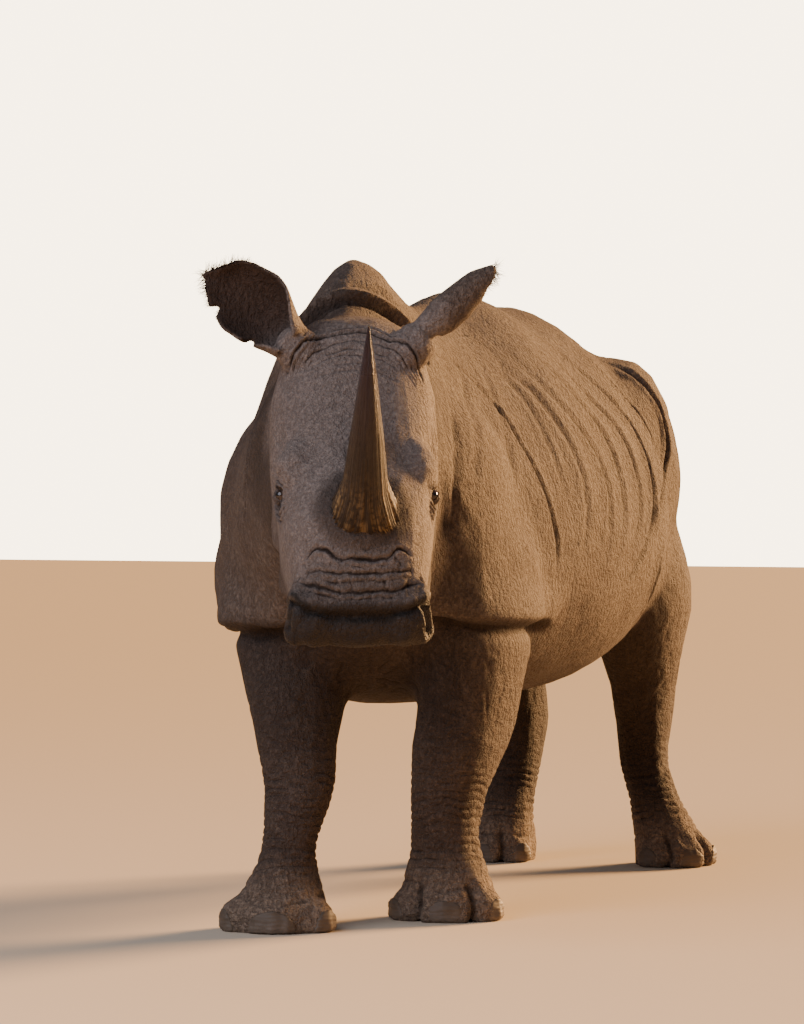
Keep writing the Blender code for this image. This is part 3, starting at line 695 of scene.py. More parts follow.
def body_details(hide):
    """Rolls, folds and creases of neck and trunk."""
    x, y, z = hide.at.T
    # A thick roll of skin over the nape, overhanging pleated skin behind the poll
    nape = [
        (-0.12, -0.80, 1.50), (-0.07, -0.76, 1.575), (-0.02, -0.71, 1.625), (0.04, -0.665, 1.655),
        (0.085, -0.59, 1.655), (0.12, -0.50, 1.635), (0.155, -0.42, 1.585), (0.19, -0.36, 1.52),
    ]
    hide.roll(nape, 0.026, 0.034, 0.016, up=(-0.20, 0.45, 0.87), droop=0.010, fade=0.12)
    for step, depth in enumerate((0.022, 0.008, 0.007)):
        down = 0.030 + 0.018 * step
        below = [(a + 0.2 * down, b - 0.45 * down, c - 0.87 * down) for a, b, c in nape]
        hide.crease(below, depth, 0.008, lips=0.5)
    above = [(a - 0.02, b + 0.045, c + 0.050) for a, b, c in nape[1:-1]]
    hide.crease(above, 0.009, 0.018, lips=0.4)
    # The knob on top of the hump, and a dent in its front
    for place, rise, wide in (((0.055, -0.42, 1.745), 0.014, 0.075), ((0.03, -0.56, 1.70), -0.010, 0.055)):
        hide.shift += rise * bell(hide.away(place), wide)
    # Folds down each side of the neck, from behind the ear to the chest
    for line, depth, width in (
        ([(0.17, -0.28, 1.47), (0.24, -0.40, 1.32), (0.29, -0.49, 1.16), (0.28, -0.50, 1.02)],
            0.0035, 0.016),
        ([(0.11, -0.12, 1.54), (0.20, -0.21, 1.40), (0.30, -0.37, 1.24), (0.32, -0.43, 1.10)],
            0.0035, 0.018),
        ([(0.10, 0.04, 1.56), (0.19, -0.02, 1.43), (0.27, -0.09, 1.28), (0.32, -0.16, 1.12)],
            0.0040, 0.018),
        ([(-0.12, -0.70, 1.46), (-0.15, -0.76, 1.38), (-0.16, -0.81, 1.24), (-0.18, -0.79, 1.10)],
            0.007, 0.014),
    ):
        hide.crease(line, depth, width, lips=0.5, fade=0.3)
    # The neck is leaner behind the right ear
    hide.shift -= 0.030 * bell(hide.away((-0.20, -0.70, 1.43)), 0.085)
    # The skirt of skin that overhangs each foreleg
    skirts = (
        [(0.13, -0.60, 0.875), (0.20, -0.565, 0.862), (0.275, -0.50, 0.848), (0.335, -0.41, 0.835),
            (0.368, -0.28, 0.828), (0.366, -0.12, 0.824), (0.335, 0.03, 0.820), (0.29, 0.12, 0.80)],
        [(-0.06, -0.72, 0.835), (-0.13, -0.70, 0.825), (-0.21, -0.675, 0.820), (-0.28, -0.62, 0.820),
            (-0.36, -0.50, 0.825), (-0.42, -0.34, 0.825), (-0.45, -0.15, 0.82), (-0.44, 0.02, 0.80)],
    )
    for line in skirts:
        hide.roll(line, 0.030, 0.070, 0.026, droop=0.016, fade=0.18)
        lower = [(a, b, c - 0.046) for a, b, c in line]
        hide.crease(lower, 0.011, 0.022, lips=0.0, fade=0.25)
    # Behind the shoulder, over the flank and before the hip: long folds that hang with the ribs
    folds = (
        ([(0.10, -0.22, 1.56), (0.17, -0.11, 1.46), (0.23, -0.03, 1.36), (0.29, 0.0, 1.26),
            (0.33, 0.04, 1.14), (0.355, 0.065, 1.0), (0.35, 0.06, 0.90)], 0.0052, 0.012),
        ([(0.15, 0.06, 1.52), (0.22, 0.12, 1.43), (0.27, 0.14, 1.35), (0.32, 0.15, 1.22),
            (0.345, 0.16, 1.10)], 0.0028, 0.015),
        ([(0.17, 0.10, 1.52), (0.23, 0.18, 1.44), (0.30, 0.24, 1.32), (0.35, 0.27, 1.21),
            (0.37, 0.25, 1.07), (0.37, 0.2, 0.95)], 0.0034, 0.016),
        ([(0.16, 0.18, 1.55), (0.25, 0.27, 1.42), (0.32, 0.38, 1.30), (0.36, 0.42, 1.20),
            (0.38, 0.40, 1.08), (0.385, 0.34, 0.95)], 0.0046, 0.016),
        ([(0.17, 0.28, 1.55), (0.25, 0.42, 1.43), (0.31, 0.53, 1.33), (0.35, 0.55, 1.22),
            (0.385, 0.50, 1.08), (0.39, 0.40, 0.94)], 0.0055, 0.016),
        ([(0.15, 0.42, 1.57), (0.24, 0.56, 1.44), (0.30, 0.68, 1.33), (0.35, 0.70, 1.21),
            (0.385, 0.64, 1.08), (0.40, 0.50, 0.95)], 0.0065, 0.015),
        ([(0.13, 0.56, 1.58), (0.22, 0.72, 1.45), (0.29, 0.84, 1.33), (0.335, 0.85, 1.22),
            (0.375, 0.77, 1.09), (0.40, 0.62, 0.96), (0.39, 0.48, 0.86)], 0.0090, 0.013),
        ([(0.12, 0.74, 1.58), (0.21, 0.89, 1.46), (0.26, 1.00, 1.35), (0.305, 0.99, 1.22),
            (0.36, 0.84, 1.09), (0.395, 0.66, 0.97)], 0.0095, 0.013),
        ([(0.12, 1.03, 1.55), (0.21, 1.10, 1.47), (0.26, 1.15, 1.37), (0.285, 1.13, 1.26),
            (0.32, 1.00, 1.14), (0.385, 0.76, 1.04)], 0.0105, 0.013),
        ([(0.10, 1.30, 1.46), (0.20, 1.30, 1.36), (0.255, 1.30, 1.20), (0.25, 1.28, 1.02)], 0.0050, 0.016),
        ([(0.35, 0.88, 0.72), (0.38, 0.82, 0.83), (0.385, 0.84, 0.95), (0.35, 0.94, 1.06)], 0.0090, 0.018),
    )
    for line in (folds[0][0], folds[7][0]):
        for sign in (1, -1):
            ahead = [(MIDDLE + sign * (a - MIDDLE), b - 0.050, c) for a, b, c in line]
            hide.crease(ahead, -0.008, 0.045, lips=0.0, fade=0.4)
    for line, depth, width in folds:
        hide.crease(line, depth, width, lips=0.75, fade=0.30)
        other = [(2 * MIDDLE - a, b + 0.02 * math.sin(9 * c), c) for a, b, c in line]
        hide.crease(other, depth, width, lips=0.75, fade=0.30)
    # Loose skin: shallow wrinkles that hang down the sides, and a soft unevenness
    trunk = blend(z, 0.62, 0.80) * blend(y, -0.75, -0.55)
    hang = hide.at * np.array([1.0, 1.0, 0.30])
    hide.shift -= 0.0012 * trunk * web(hang, 0.10, 5, 0.006)
    hide.shift += 0.0016 * ripple(hide.at, 0.22, 6)
    # Backbone
    along_back = blend(y, 0.0, 0.2) * (1 - blend(y, 1.2, 1.4)) * (z > 1.3)
    hide.shift += 0.006 * bell(x - MIDDLE, 0.035) * along_back


def leg_details(hide):
    """Rings of creased skin at wrist and hock, wrinkles above them, and creases round the toes."""
    for name in LEGS:
        low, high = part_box(name)
        least, most = np.array(low) - 0.03, np.array(high) + np.array([0.03, 0.03, 0.22])
        which = np.flatnonzero(np.all((hide.at > least) & (hide.at < most), axis=1))
        at = hide.at[which]
        z = at[:, 2]
        middle = np.array([(low[0] + high[0]) / 2, (low[1] + high[1]) / 2])
        angle = np.arctan2(at[:, 1] - middle[1], at[:, 0] - middle[0])
        wobble = 0.30 * ripple(at, 0.13, 11) + 0.5 * np.sin(angle * 2 + 1)
        full, fading, gone = (0.17, 0.36, 0.48) if "front" in name else (0.16, 0.28, 0.40)
        strength = blend(z, 0.10, full) * (1 - blend(z, fading, gone))
        phase = z / 0.0225 + wobble
        ring = bell(np.sin(math.pi * phase), 0.42)
        hide.shift[which] -= 0.0056 * strength * ring * (0.65 + 0.4 * ripple(at, 0.09, 12))
        upper = blend(z, 0.40, 0.50) * (1 - blend(z, 0.70, 0.80))
        hide.shift[which] -= 0.0018 * upper * web(at * np.array([1, 1, 0.6]), 0.060, 13, 0.004)
        # A soft crease above the toes, and a deep notch between each pair of toes
        over_toes = z - 0.100 - 0.016 * np.sin(2 * angle + 1) - 0.010 * ripple(at, 0.08, 14)
        hide.shift[which] -= 0.0028 * groove(over_toes, 0.008)
        toes = sorted(
            math.atan2(*(centre(n) - Vector((*middle, 0))).yx) for n in NAILS
            if np.linalg.norm(np.array(centre(n))[:2] - middle) < 0.22
        )
        front = math.atan2(np.mean(np.sin(toes)), np.mean(np.cos(toes)))
        turns = sorted(math.remainder(toe - front, 2 * math.pi) for toe in toes)
        around = np.remainder(angle - front + math.pi, 2 * math.pi) - math.pi
        reach = np.linalg.norm(at[:, :2] - middle, axis=1)
        for a, b in zip(turns, turns[1:]):
            gap = (around - (a + b) / 2 - 0.04 * np.sin(40 * z)) * reach
            notch = bell(gap, 0.011) - 0.35 * bell(np.abs(gap) - 0.030, 0.016)
            hide.shift[which] -= 0.013 * notch * blend(reach, 0.05, 0.09) * (1 - blend(z, 0.065, 0.125))


def refine(obj, chosen_part):
    """Halves the mesh's spacing on part of the head, chosen in the head's frame."""
    local = in_frame(read(obj.data.vertices, "co"), head_frame())
    fine = chosen_part(local[:, 0], -local[:, 1], local[:, 2])
    body = bmesh.new()
    body.from_mesh(obj.data)
    body.edges.ensure_lookup_table()
    edges = np.empty(len(obj.data.edges) * 2, np.int64)
    obj.data.edges.foreach_get("vertices", edges)
    chosen = np.flatnonzero(fine[edges.reshape(-1, 2)].all(axis=1))
    bmesh.ops.subdivide_edges(body, edges=[body.edges[i] for i in chosen], cuts=1, use_grid_fill=True)
    body.to_mesh(obj.data)
    body.free()


def make_hide_form(settings):
    obj = grown_flesh(settings)
    hide = Surface(obj.data)
    on_head, on_ear, low = regions(hide.at)
    weight = 0.62 * (1 - 0.6 * on_head) * (1 - 0.75 * low) * (1 - 0.85 * on_ear)
    hide.relax(weight, 90)
    hide.shift -= 0.002 * (1 - on_ear)
    hide.settle()
    refine(obj, lambda x, s, z: (s > -0.05) & (s < 0.9) & (np.abs(x) < 0.25) & (z > -0.19))
    refine(obj, lambda x, s, z: (np.abs(x) > 0.13) & (np.hypot(s - EYE_ALONG, z) < 0.055))
    hide = Surface(obj.data)
    head = head_frame()
    body_details(hide)
    leg_details(hide)
    hide.settle()
    face_details(hide, head)
    hide.settle()
    lids(hide, head, bpy.context.scene.rhino_eye.radius)
    hide.at[:, 2] = np.maximum(hide.at[:, 2], HIDE_CLEAR)
    hide.write()
    return obj


def thin_out(obj, triangles):
    """Fewer triangles, taken first from where the hide is plain, and last from face and ears."""
    points = read(obj.data.vertices, "co")
    on_head, on_ear, _ = regions(points)
    spared = np.maximum(on_head, on_ear) > 0.5
    group = obj.vertex_groups.new(name="plain")
    group.add(np.flatnonzero(~spared).tolist(), 1.0, "REPLACE")
    group.add(np.flatnonzero(spared).tolist(), 0.5, "REPLACE")
    thin = obj.modifiers.new("thin out", "DECIMATE")
    corners = read(obj.data.polygons, "loop_total", 1)
    thin.ratio = min(1.0, triangles / float((corners - 2).sum()))
    thin.vertex_group = "plain"
    thin.vertex_group_factor = 0.0006
    apply_modifiers(obj)
    obj.vertex_groups.clear()


def inside_ear(points, normals):
    """1 on the bare skin within an ear's cup."""
    inside = np.zeros(len(points))
    for name in EARS:
        frame_of_ear = ear_frame(name)
        ear = in_frame(points, frame_of_ear)
        facing = normals @ np.array(frame_of_ear.to_3x3())
        cupped = (facing[:, :2] * (np.array([0, -0.030]) - ear[:, :2])).sum(axis=1)
        reach = np.linalg.norm(ear[:, :2], axis=1) < 0.13
        inside = np.maximum(inside, blend(cupped, 0.0, 0.012) * reach * blend(ear[:, 2], 0.0, 0.05))
    return inside


def set_attribute(mesh, name, values):
    """Stores a number or a vector for each point."""
    kind, key = ("FLOAT", "value") if values.ndim == 1 else ("FLOAT_VECTOR", "vector")
    layer = mesh.attributes.new(name, kind, "POINT")
    layer.data.foreach_set(key, values.astype(np.float32).ravel())


def shelter(obj, reach=0.16, rays=16):
    """How far each point is closed in by the skin around it."""
    points, normals = read(obj.data.vertices, "co"), read(obj.data.vertex_normals, "vector")
    tree = BVHTree.FromObject(obj, bpy.context.evaluated_depsgraph_get())
    rng = np.random.default_rng(12)
    around = rng.normal(size=(rays, 3))
    around /= np.linalg.norm(around, axis=1)[:, None]
    closed = np.zeros(len(points))
    starts = (points + 0.003 * normals).tolist()
    for direction in around:
        aims = direction + 1.05 * normals
        aims /= np.maximum(np.linalg.norm(aims, axis=1), 1e-6)[:, None]
        for i, (start, aim) in enumerate(zip(starts, aims.tolist())):
            far = tree.ray_cast(start, aim, reach)[3]
            if far is not None:
                closed[i] += 1 - far / reach
    return closed / rays


def painted_shade_marks(hide):
    """Painted shade: in the valley behind the cheeks and the pleats under the nape, on the fronts and
    insides of the hind legs and on the forelegs below the skirts, and round the horn's foot and the eyes.
    """
    head = head_frame()
    # Painted shadow in the valley behind the cheeks
    local = in_frame(hide.at, head)
    side, height = np.abs(local[:, 0]), hide.at[:, 2]
    heights = (0.84, 0.92, 0.99, 1.11, 1.20, 1.38, 1.50)
    half = np.interp(height, heights, (0.150, 0.168, 0.185, 0.205, 0.212, 0.212, 0.200))
    reach = np.where(local[:, 0] < 0, 0.11, np.interp(height, (0.95, 1.20), (0.17, 0.05)))
    side = side + 0.020 * ripple(hide.at, 0.30, 45)
    beside = blend(side, half - 0.030, half + 0.005) * (1 - blend(side, half, half + 1.3 * reach))
    beside *= blend(height, 0.80, 0.95) * (1 - blend(height, 1.42, 1.56))
    beside *= blend(local[:, 2], -0.46, -0.28) * (1 - blend(local[:, 2], -0.16, -0.08))
    shade_mask = 0.85 * beside * (hide.at[:, 1] < -0.25)
    # Painted shade on the fronts and insides of the hind legs
    normals = hide.normals()
    hind = (hide.at[:, 1] > 0.70) * (1 - blend(height, 0.86, 0.98)) * blend(height, 0.10, 0.34)
    inward = np.maximum(-normals[:, 1], -normals[:, 0] * np.sign(hide.at[:, 0] - MIDDLE))
    shade_mask = np.maximum(shade_mask, 0.85 * hind * blend(inward, -0.10, 0.45) * blend(hide.at[:, 1], 0.70, 0.86))
    # Painted shade on the forelegs below the skirts, less on the outer side
    fore = (hide.at[:, 1] < 0.10) * blend(height, 0.34, 0.62) * (1 - blend(height, 0.79, 0.83))
    outer = blend(normals[:, 0], 0.35, 0.85) * (hide.at[:, 0] > 0)
    shade_mask = np.maximum(shade_mask, 0.78 * fore * (1 - 0.85 * outer))
    # Painted shade round the foot of the front horn
    seat = hide.away(head @ Vector((0.012, -0.545, 0.105)))
    shade_mask = np.maximum(shade_mask, 0.85 * (1 - blend(seat, 0.105, 0.140)))
    # Painted shade round the eyes
    for sign in (1, -1):
        eye = head @ Vector((sign * 0.190, -EYE_ALONG, 0.0))
        shade_mask = np.maximum(shade_mask, 0.75 * bell(hide.away(eye), 0.034))
    # Painted shade in the pleats under the nape's roll
    nape = [
        (-0.10, -0.80, 1.50), (-0.05, -0.76, 1.56), (0.0, -0.73, 1.605), (0.06, -0.69, 1.625),
        (0.11, -0.62, 1.62), (0.15, -0.53, 1.60),
    ]
    width = 0.040
    which, far, _, share = hide.near(smooth_line(nape, 40), 2.2 * width)
    ends = np.clip(np.minimum(share, 1 - share) / 0.15, 0.3, 1)
    shade_mask[which] = np.maximum(shade_mask[which], 0.9 * ends * bell(far, width))
    return shade_mask


def mark_folds(obj):
    """Stores how deep each point lies in a narrow crease (hollow) or a broad one (fold), for the painted
    shade in them.
    """
    hide = Surface(obj.data)
    normals = hide.normals()
    start = hide.at.copy()
    for name, rounds, deepest in (("hollow", 16, 0.0022), ("fold", 120, 0.0085)):
        hide.at = start.copy()
        for _ in range(rounds):
            hide.step(0.6)
        depth = ((hide.at - start) * normals).sum(axis=1)
        set_attribute(obj.data, name, np.clip(depth / deepest, -1, 1))
    hide.at = start
    hide.write()


def mark_zones(obj):
    """Stores what the material reads: painted shade from shelter from the sky and from the painted shade
    marks, and how much a place is face, lip or ear.
    """
    hide = Surface(obj.data)
    normals = hide.normals()
    start = hide.at
    closed = shelter(obj)
    # Painted shade: how far the skin closes round each point, joined with the painted shade marks
    set_attribute(obj.data, "painted_shade", np.clip(np.maximum((closed - 0.16) * 1.7, painted_shade_marks(hide)), 0, 1))
    local = in_frame(start, head_frame())
    x, s, z = local[:, 0], -local[:, 1], local[:, 2]
    # Muzzle: damp, dark skin of lips and nostrils, which also paints the shade on the lip's front
    along = s + 0.5 * np.maximum(-z - 0.05, 0)
    uneven = blend(along + 0.012 * ripple(local, 0.05, 46), 0.64, 0.76)
    lips = np.maximum(blend(along, 0.75, 0.79), 0.50 * uneven)
    lips *= (np.abs(x) < 0.25) * blend(z, -0.30, -0.22)
    places = (-0.175, -0.150, -0.115, 0, 0.115, 0.150, 0.175)
    pad = np.interp(x, places, (0.712, 0.750, 0.776, 0.786, 0.776, 0.750, 0.712))
    # Painted shade in the groove under the pad's rim
    under = bell(s - pad - 0.015, 0.009) * (np.abs(x) < 0.17) * blend(z, -0.08, -0.03)
    nostril = np.exp(-(((np.abs(x) - 0.158) ** 2 + (s - 0.745) ** 2 + (z + 0.022) ** 2) / 0.035**2))
    # Painted shade on the lower lip, set back under the overhanging upper lip
    mouth = bell(z + 0.142, 0.022) * blend(s, 0.60, 0.68) * (np.abs(x) < 0.25)
    set_attribute(obj.data, "muzzle", np.clip(lips + nostril + 0.9 * mouth, 0, 1))
    set_attribute(obj.data, "cleft_shade", under)
    set_attribute(obj.data, "ear_inside", inside_ear(start, normals))
    face = blend(s, -0.12, 0.02) * blend(z, -0.30, -0.10) * (1 - blend(np.abs(x), 0.21, 0.26))
    set_attribute(obj.data, "face", face)
    # Wet nostril: gloss, and near-black that is also painted shade inside the nostril
    wet = (np.abs(x) - 0.158) ** 2 + (s - 0.775) ** 2 + ((z + 0.036) / 1.6) ** 2
    set_attribute(obj.data, "wet", np.exp(-(wet / 0.020**2)))


# ---------------------------------------------------------------- nodes and materials


def connect(tree, made, inputs):
    """Sets a node's inputs, given by name or in order, to values or links them to sockets."""
    for key, value in inputs.items() if isinstance(inputs, dict) else enumerate(inputs):
        if isinstance(value, bpy.types.NodeSocket):
            tree.links.new(value, made.inputs[key])
        else:
            made.inputs[key].default_value = value


def node(tree, kind, inputs=(), out=0, **settings):
    """Adds a node with its settings, values and links, and returns one of its outputs."""
    made = tree.nodes.new(kind)
    for key, value in settings.items():
        setattr(made, key, value)
    connect(tree, made, inputs)
    return made.outputs[out] if made.outputs else None


def new_material(name):
    made = bpy.data.materials.new(name)
    made.use_nodes = True
    return made, made.node_tree, made.node_tree.nodes["Principled BSDF"]


def rgba(value):
    return (*value, 1.0)


SMOOTH = {"interpolation_type": "SMOOTHSTEP"}
COLOUR_MIX = {"out": 2, "data_type": "RGBA"}
# Near-black painted shade for the groove under the pad's rim
CLEFT_SHADE = (0.004, 0.003, 0.002)
PUPIL = (0.002, 0.002, 0.002)
# Near-black for the wet nostril, which is also painted shade inside it
WET_SKIN_AND_SHADE = (0.006, 0.004, 0.003)


def hide_material(settings):
    """Rhinoceros hide: thick, dry, creased skin, matt, with pale dust on what stands proud."""
    made, tree, shader = new_material("dry_rhinoceros_hide")
    place = node(tree, "ShaderNodeTexCoord", out="Object")
    level = node(tree, "ShaderNodeSeparateXYZ", (place,), out="Z")
    normal = node(tree, "ShaderNodeNewGeometry", out="Normal")
    facing_up = node(tree, "ShaderNodeSeparateXYZ", (normal,), out="Z")
    hollow, fold, face, painted_shade, muzzle, cleft_shade, wet, ear_inside = (
        node(tree, "ShaderNodeAttribute", out="Fac", attribute_name=name)
        for name in ("hollow", "fold", "face", "painted_shade", "muzzle", "cleft_shade", "wet", "ear_inside")
    )
    # The hide wanders a little, so that no cell of the pattern is straight
    drift = node(tree, "ShaderNodeTexNoise", {"Vector": place, "Scale": 28.0, "Detail": 2.0}, out="Color")
    warped = node(tree, "ShaderNodeMix", {0: 0.018, 4: place, 5: drift}, out=1, data_type="VECTOR")
    # Fine slanting wrinkles about 12 mm apart are drawn out down the body, and those that ring the
    # legs, about 16 mm apart, around it
    slanting = node(
        tree, "ShaderNodeMapping",
        {"Vector": place, "Scale": (1.0, 1.0, 0.62), "Rotation": (0.45, 0.2, 0.3)},
    )
    flat = node(tree, "ShaderNodeMapping", {"Vector": place, "Scale": (0.40, 0.40, 1.0)})
    wrinkles, rings, grain, mottle, speckle = (
        node(
            tree, "ShaderNodeTexNoise",
            {"Vector": at, "Scale": scale, "Detail": detail, "Roughness": rough, "Distortion": bent},
        )
        for at, scale, detail, rough, bent in (
            (slanting, 96.0, 4.0, 0.60, 0.15), (flat, 62.0, 3.0, 0.55, 0.0), (place, 210.0, 4.0, 0.65, 0.0),
            (place, 5.5, 7.0, 0.62, 0.0), (warped, 130.0, 3.0, 0.70, 0.0),
        )
    )
    # Plates about 28 mm across with cracks between, and pebbles of about 8 mm
    plates, pebbles = (
        node(tree, "ShaderNodeTexVoronoi", {"Vector": warped, "Scale": scale}, feature="DISTANCE_TO_EDGE")
        for scale in (36.0, 125.0)
    )
    # Mud low on the legs, which is also painted shade there, darker towards the bottom
    mud_and_shade_level = node(tree, "ShaderNodeMath", (mottle, 0.5, level), operation="MULTIPLY_ADD")
    near_floor = node(tree, "ShaderNodeMath", (mottle, -0.12, level), operation="MULTIPLY_ADD")
    (
        plate_crack, pebble_crack, furrow, on_leg, gap, patches, dark_speck, pale_speck, deep, folded,
        mud, powder,
    ) = (
        node(tree, "ShaderNodeMapRange", numbers, **SMOOTH)
        for numbers in (
            (plates, 0.0, 0.10, 1.0, 0.0), (pebbles, 0.0, 0.22, 1.0, 0.0), (wrinkles, 0.34, 0.58, 1.0, 0.0),
            (level, 0.45, 0.80, 1.0, 0.0), (rings, 0.36, 0.56, 1.0, 0.0), (mottle, 0.25, 0.75, 0.05, 0.95),
            (speckle, 0.30, 0.72, 0.50, 0.0), (speckle, 0.50, 0.80, 0.0, 0.35),
            (hollow, 0.10, 1.0, 0.0, 1.0), (fold, 0.10, 0.90, 0.0, 0.42),
            (mud_and_shade_level, 0.55, 1.10, 0.80, 0.0), (near_floor, 0.0, 0.16, 0.75, 0.0),
        )
    )
    # The face is smoother than the body, but the painted shade in its creases is darker
    smoother = node(tree, "ShaderNodeMath", (face, -0.40, 1.0), operation="MULTIPLY_ADD")
    darker = node(tree, "ShaderNodeMath", (face, 0.30, 0.50), operation="MULTIPLY_ADD")
    furrow, gap, deep, plate_on_face = (
        node(tree, "ShaderNodeMath", pair, operation="MULTIPLY")
        for pair in ((furrow, smoother), (gap, on_leg), (deep, darker), (plate_crack, face))
    )
    height, dust = 0.0, patches
    for source, weight in (
        (on_leg, 0.90), (gap, -0.90), (plate_crack, -0.10), (pebble_crack, -0.22), (grain, 0.50),
        (furrow, -0.85),
    ):
        height = node(tree, "ShaderNodeMath", (source, weight, height), operation="MULTIPLY_ADD")
    for source, weight in ((facing_up, -0.16), (wrinkles, 0.5), (hollow, -0.25)):
        dust = node(tree, "ShaderNodeMath", (source, weight, dust), operation="MULTIPLY_ADD")
    # Colour: bare hide, dusted where it stands proud, mud and painted shade low on the legs, painted shade
    # in folds, wrinkles, cracks and sheltered places, damp skin and painted shade at the muzzle
    base = rgba(settings.dark)
    for share, strength, tint in (
        (node(tree, "ShaderNodeMapRange", (dust, 0.15, 1.15), **SMOOTH), 1.0, settings.dusty),
        # The crease tint is painted shade in leg rings, cracks, wrinkles, hollows and folds
        (face, 0.65, settings.face), (mud, 1.0, settings.mud), (gap, 0.50, settings.crease),
        (powder, 1.0, settings.powder), (pebble_crack, 0.22, settings.crease),
        (furrow, 0.42, settings.crease), (dark_speck, 1.0, settings.dark),
        (pale_speck, 1.0, settings.powder), (deep, 1.0, settings.crease),
        # Painted shade in folds and sheltered places
        (folded, 1.0, settings.crease), (painted_shade, 0.85, settings.crease),
        # Muzzle: damp skin with painted shade on the lips
        (muzzle, 0.92, settings.muzzle), (plate_on_face, 0.13, settings.crease),
        # Painted shade in the pad's groove and inside the wet nostrils
        (cleft_shade, 0.9, CLEFT_SHADE), (wet, 1.0, WET_SKIN_AND_SHADE), (ear_inside, 0.85, settings.ear_inside),
    ):
        share = node(tree, "ShaderNodeMath", (share, strength), operation="MULTIPLY")
        base = node(tree, "ShaderNodeMix", {0: share, 6: base, 7: rgba(tint)}, **COLOUR_MIX)
    # Damp skin of the muzzle is less rough, and the nostrils are wet
    connect(tree, shader, {
        "Base Color": base,
        "Roughness": node(tree, "ShaderNodeMapRange", (muzzle, 0.3, 1.0, 0.80, 0.55), **SMOOTH),
        "Specular IOR Level": 0.30,
        "Coat Weight": node(tree, "ShaderNodeMath", (wet, 0.35), operation="MULTIPLY"),
        "Coat Roughness": 0.12,
        "Normal": node(tree, "ShaderNodeBump", {"Strength": 1.0, "Distance": 0.0055, "Height": height}),
    })
    return made


# ---------------------------------------------------------------- horns

# A horn rises from the face at side, along and above (in the head's frame), leans forward by
# lean degrees at the root and curves back by bend; half widths are (share of length, size)
HORNS = {
    "horn_front": dict(
        side=0.012, along=0.545, above=0.105, lean=12, bend=46, spokes=180, rings=170,
        across=((0, 0.087), (0.08, 0.075), (0.22, 0.056), (0.5, 0.041), (0.8, 0.020), (1, 0.002)),
        fore_aft=((0, 0.080), (0.08, 0.080), (0.22, 0.064), (0.5, 0.046), (0.8, 0.023), (1, 0.002)),
    ),
    "horn_rear": dict(
        side=0.020, along=0.366, above=0.095, lean=2, bend=14, spokes=120, rings=60,
        across=((0, 0.050), (0.3, 0.038), (0.7, 0.023), (0.93, 0.010), (1, 0.003)),
        fore_aft=((0, 0.064), (0.3, 0.057), (0.7, 0.034), (0.93, 0.014), (1, 0.003)),
    ),
}


def streaks(angle, rise, low, high, seed, waves=22):
    """Uneven fibres that run along a horn: between about -1 and 1."""
    rng = np.random.default_rng(seed)
    total = np.zeros_like(angle)
    for _ in range(waves):
        total += np.sin(rng.integers(low, high) * angle + rng.uniform(-9, 9) * rise + rng.uniform(0, 6.3))
    return total / math.sqrt(waves)


def horn_mesh(name, size, long):
    """A horn of matted fibres: frayed at its foot, ribbed along its length, rubbed smooth at the tip."""
    base = head_frame() @ Matrix.Translation((size["side"], -size["along"], size["above"]))
    count, spokes = size["rings"], size["spokes"]
    shares = np.linspace(0, 1, count + 1) ** 0.9
    angles = np.linspace(0, 2 * math.pi, spokes, endpoint=False)
    at = Vector((0, 0, 0))
    places, straight = [], []
    before = 0.0
    for share in shares:
        lean = math.radians(size["lean"] - size["bend"] * share)
        tangent = Vector((0, -math.sin(lean), math.cos(lean)))
        at = at + tangent * long * (share - before)
        before = share
        across = np.interp(share, *zip(*size["across"]))
        deep = np.interp(share, *zip(*size["fore_aft"]))
        fray = 0.030 * math.exp(-share / 0.10) + 0.016 * (1 - share)
        # Nearly square at the foot, round from a third of the way up
        square = 2 / (2 + 1.8 * math.exp(-share / 0.12))
        rough = 1 + fray * streaks(angles, share, 14, 46, 21)
        rough += 0.4 * fray * streaks(angles, share, 50, 85, 22)
        rough += 0.010 * (1 - share) * math.sin(230 * share * long) * np.sin(3 * angles + 9 * share)
        for angle, swell in zip(angles, rough):
            cosine, sine = math.cos(angle), math.sin(angle)
            # The side towards the forehead is round and steeper
            corner, reach = (1.0, 0.86) if sine > 0 else (square, 1.0)
            aside = Vector((across * math.copysign(abs(cosine) ** corner, cosine), 0, 0))
            forward = Vector((0, -tangent.z, tangent.y)) * deep
            forward *= reach * math.copysign(abs(sine) ** corner, sine)
            places.append(base @ (at + (aside - forward) * swell))
            straight.append((0.07 * math.cos(angle), 0.07 * math.sin(angle), share * long))
    body = bmesh.new()
    verts = [body.verts.new(place) for place in places]
    for i in range(count):
        for k in range(spokes):
            a, b = i * spokes + k, i * spokes + (k + 1) % spokes
            body.faces.new((verts[a], verts[b], verts[b + spokes], verts[a + spokes]))
    body.faces.new(verts[:spokes])
    body.faces.new(verts[-spokes:])
    bmesh.ops.recalc_face_normals(body, faces=body.faces)
    mesh = from_body(name, body)
    set_attribute(mesh, "strand", np.array(straight))
    set_attribute(mesh, "share", np.repeat(shares, spokes))
    return mesh


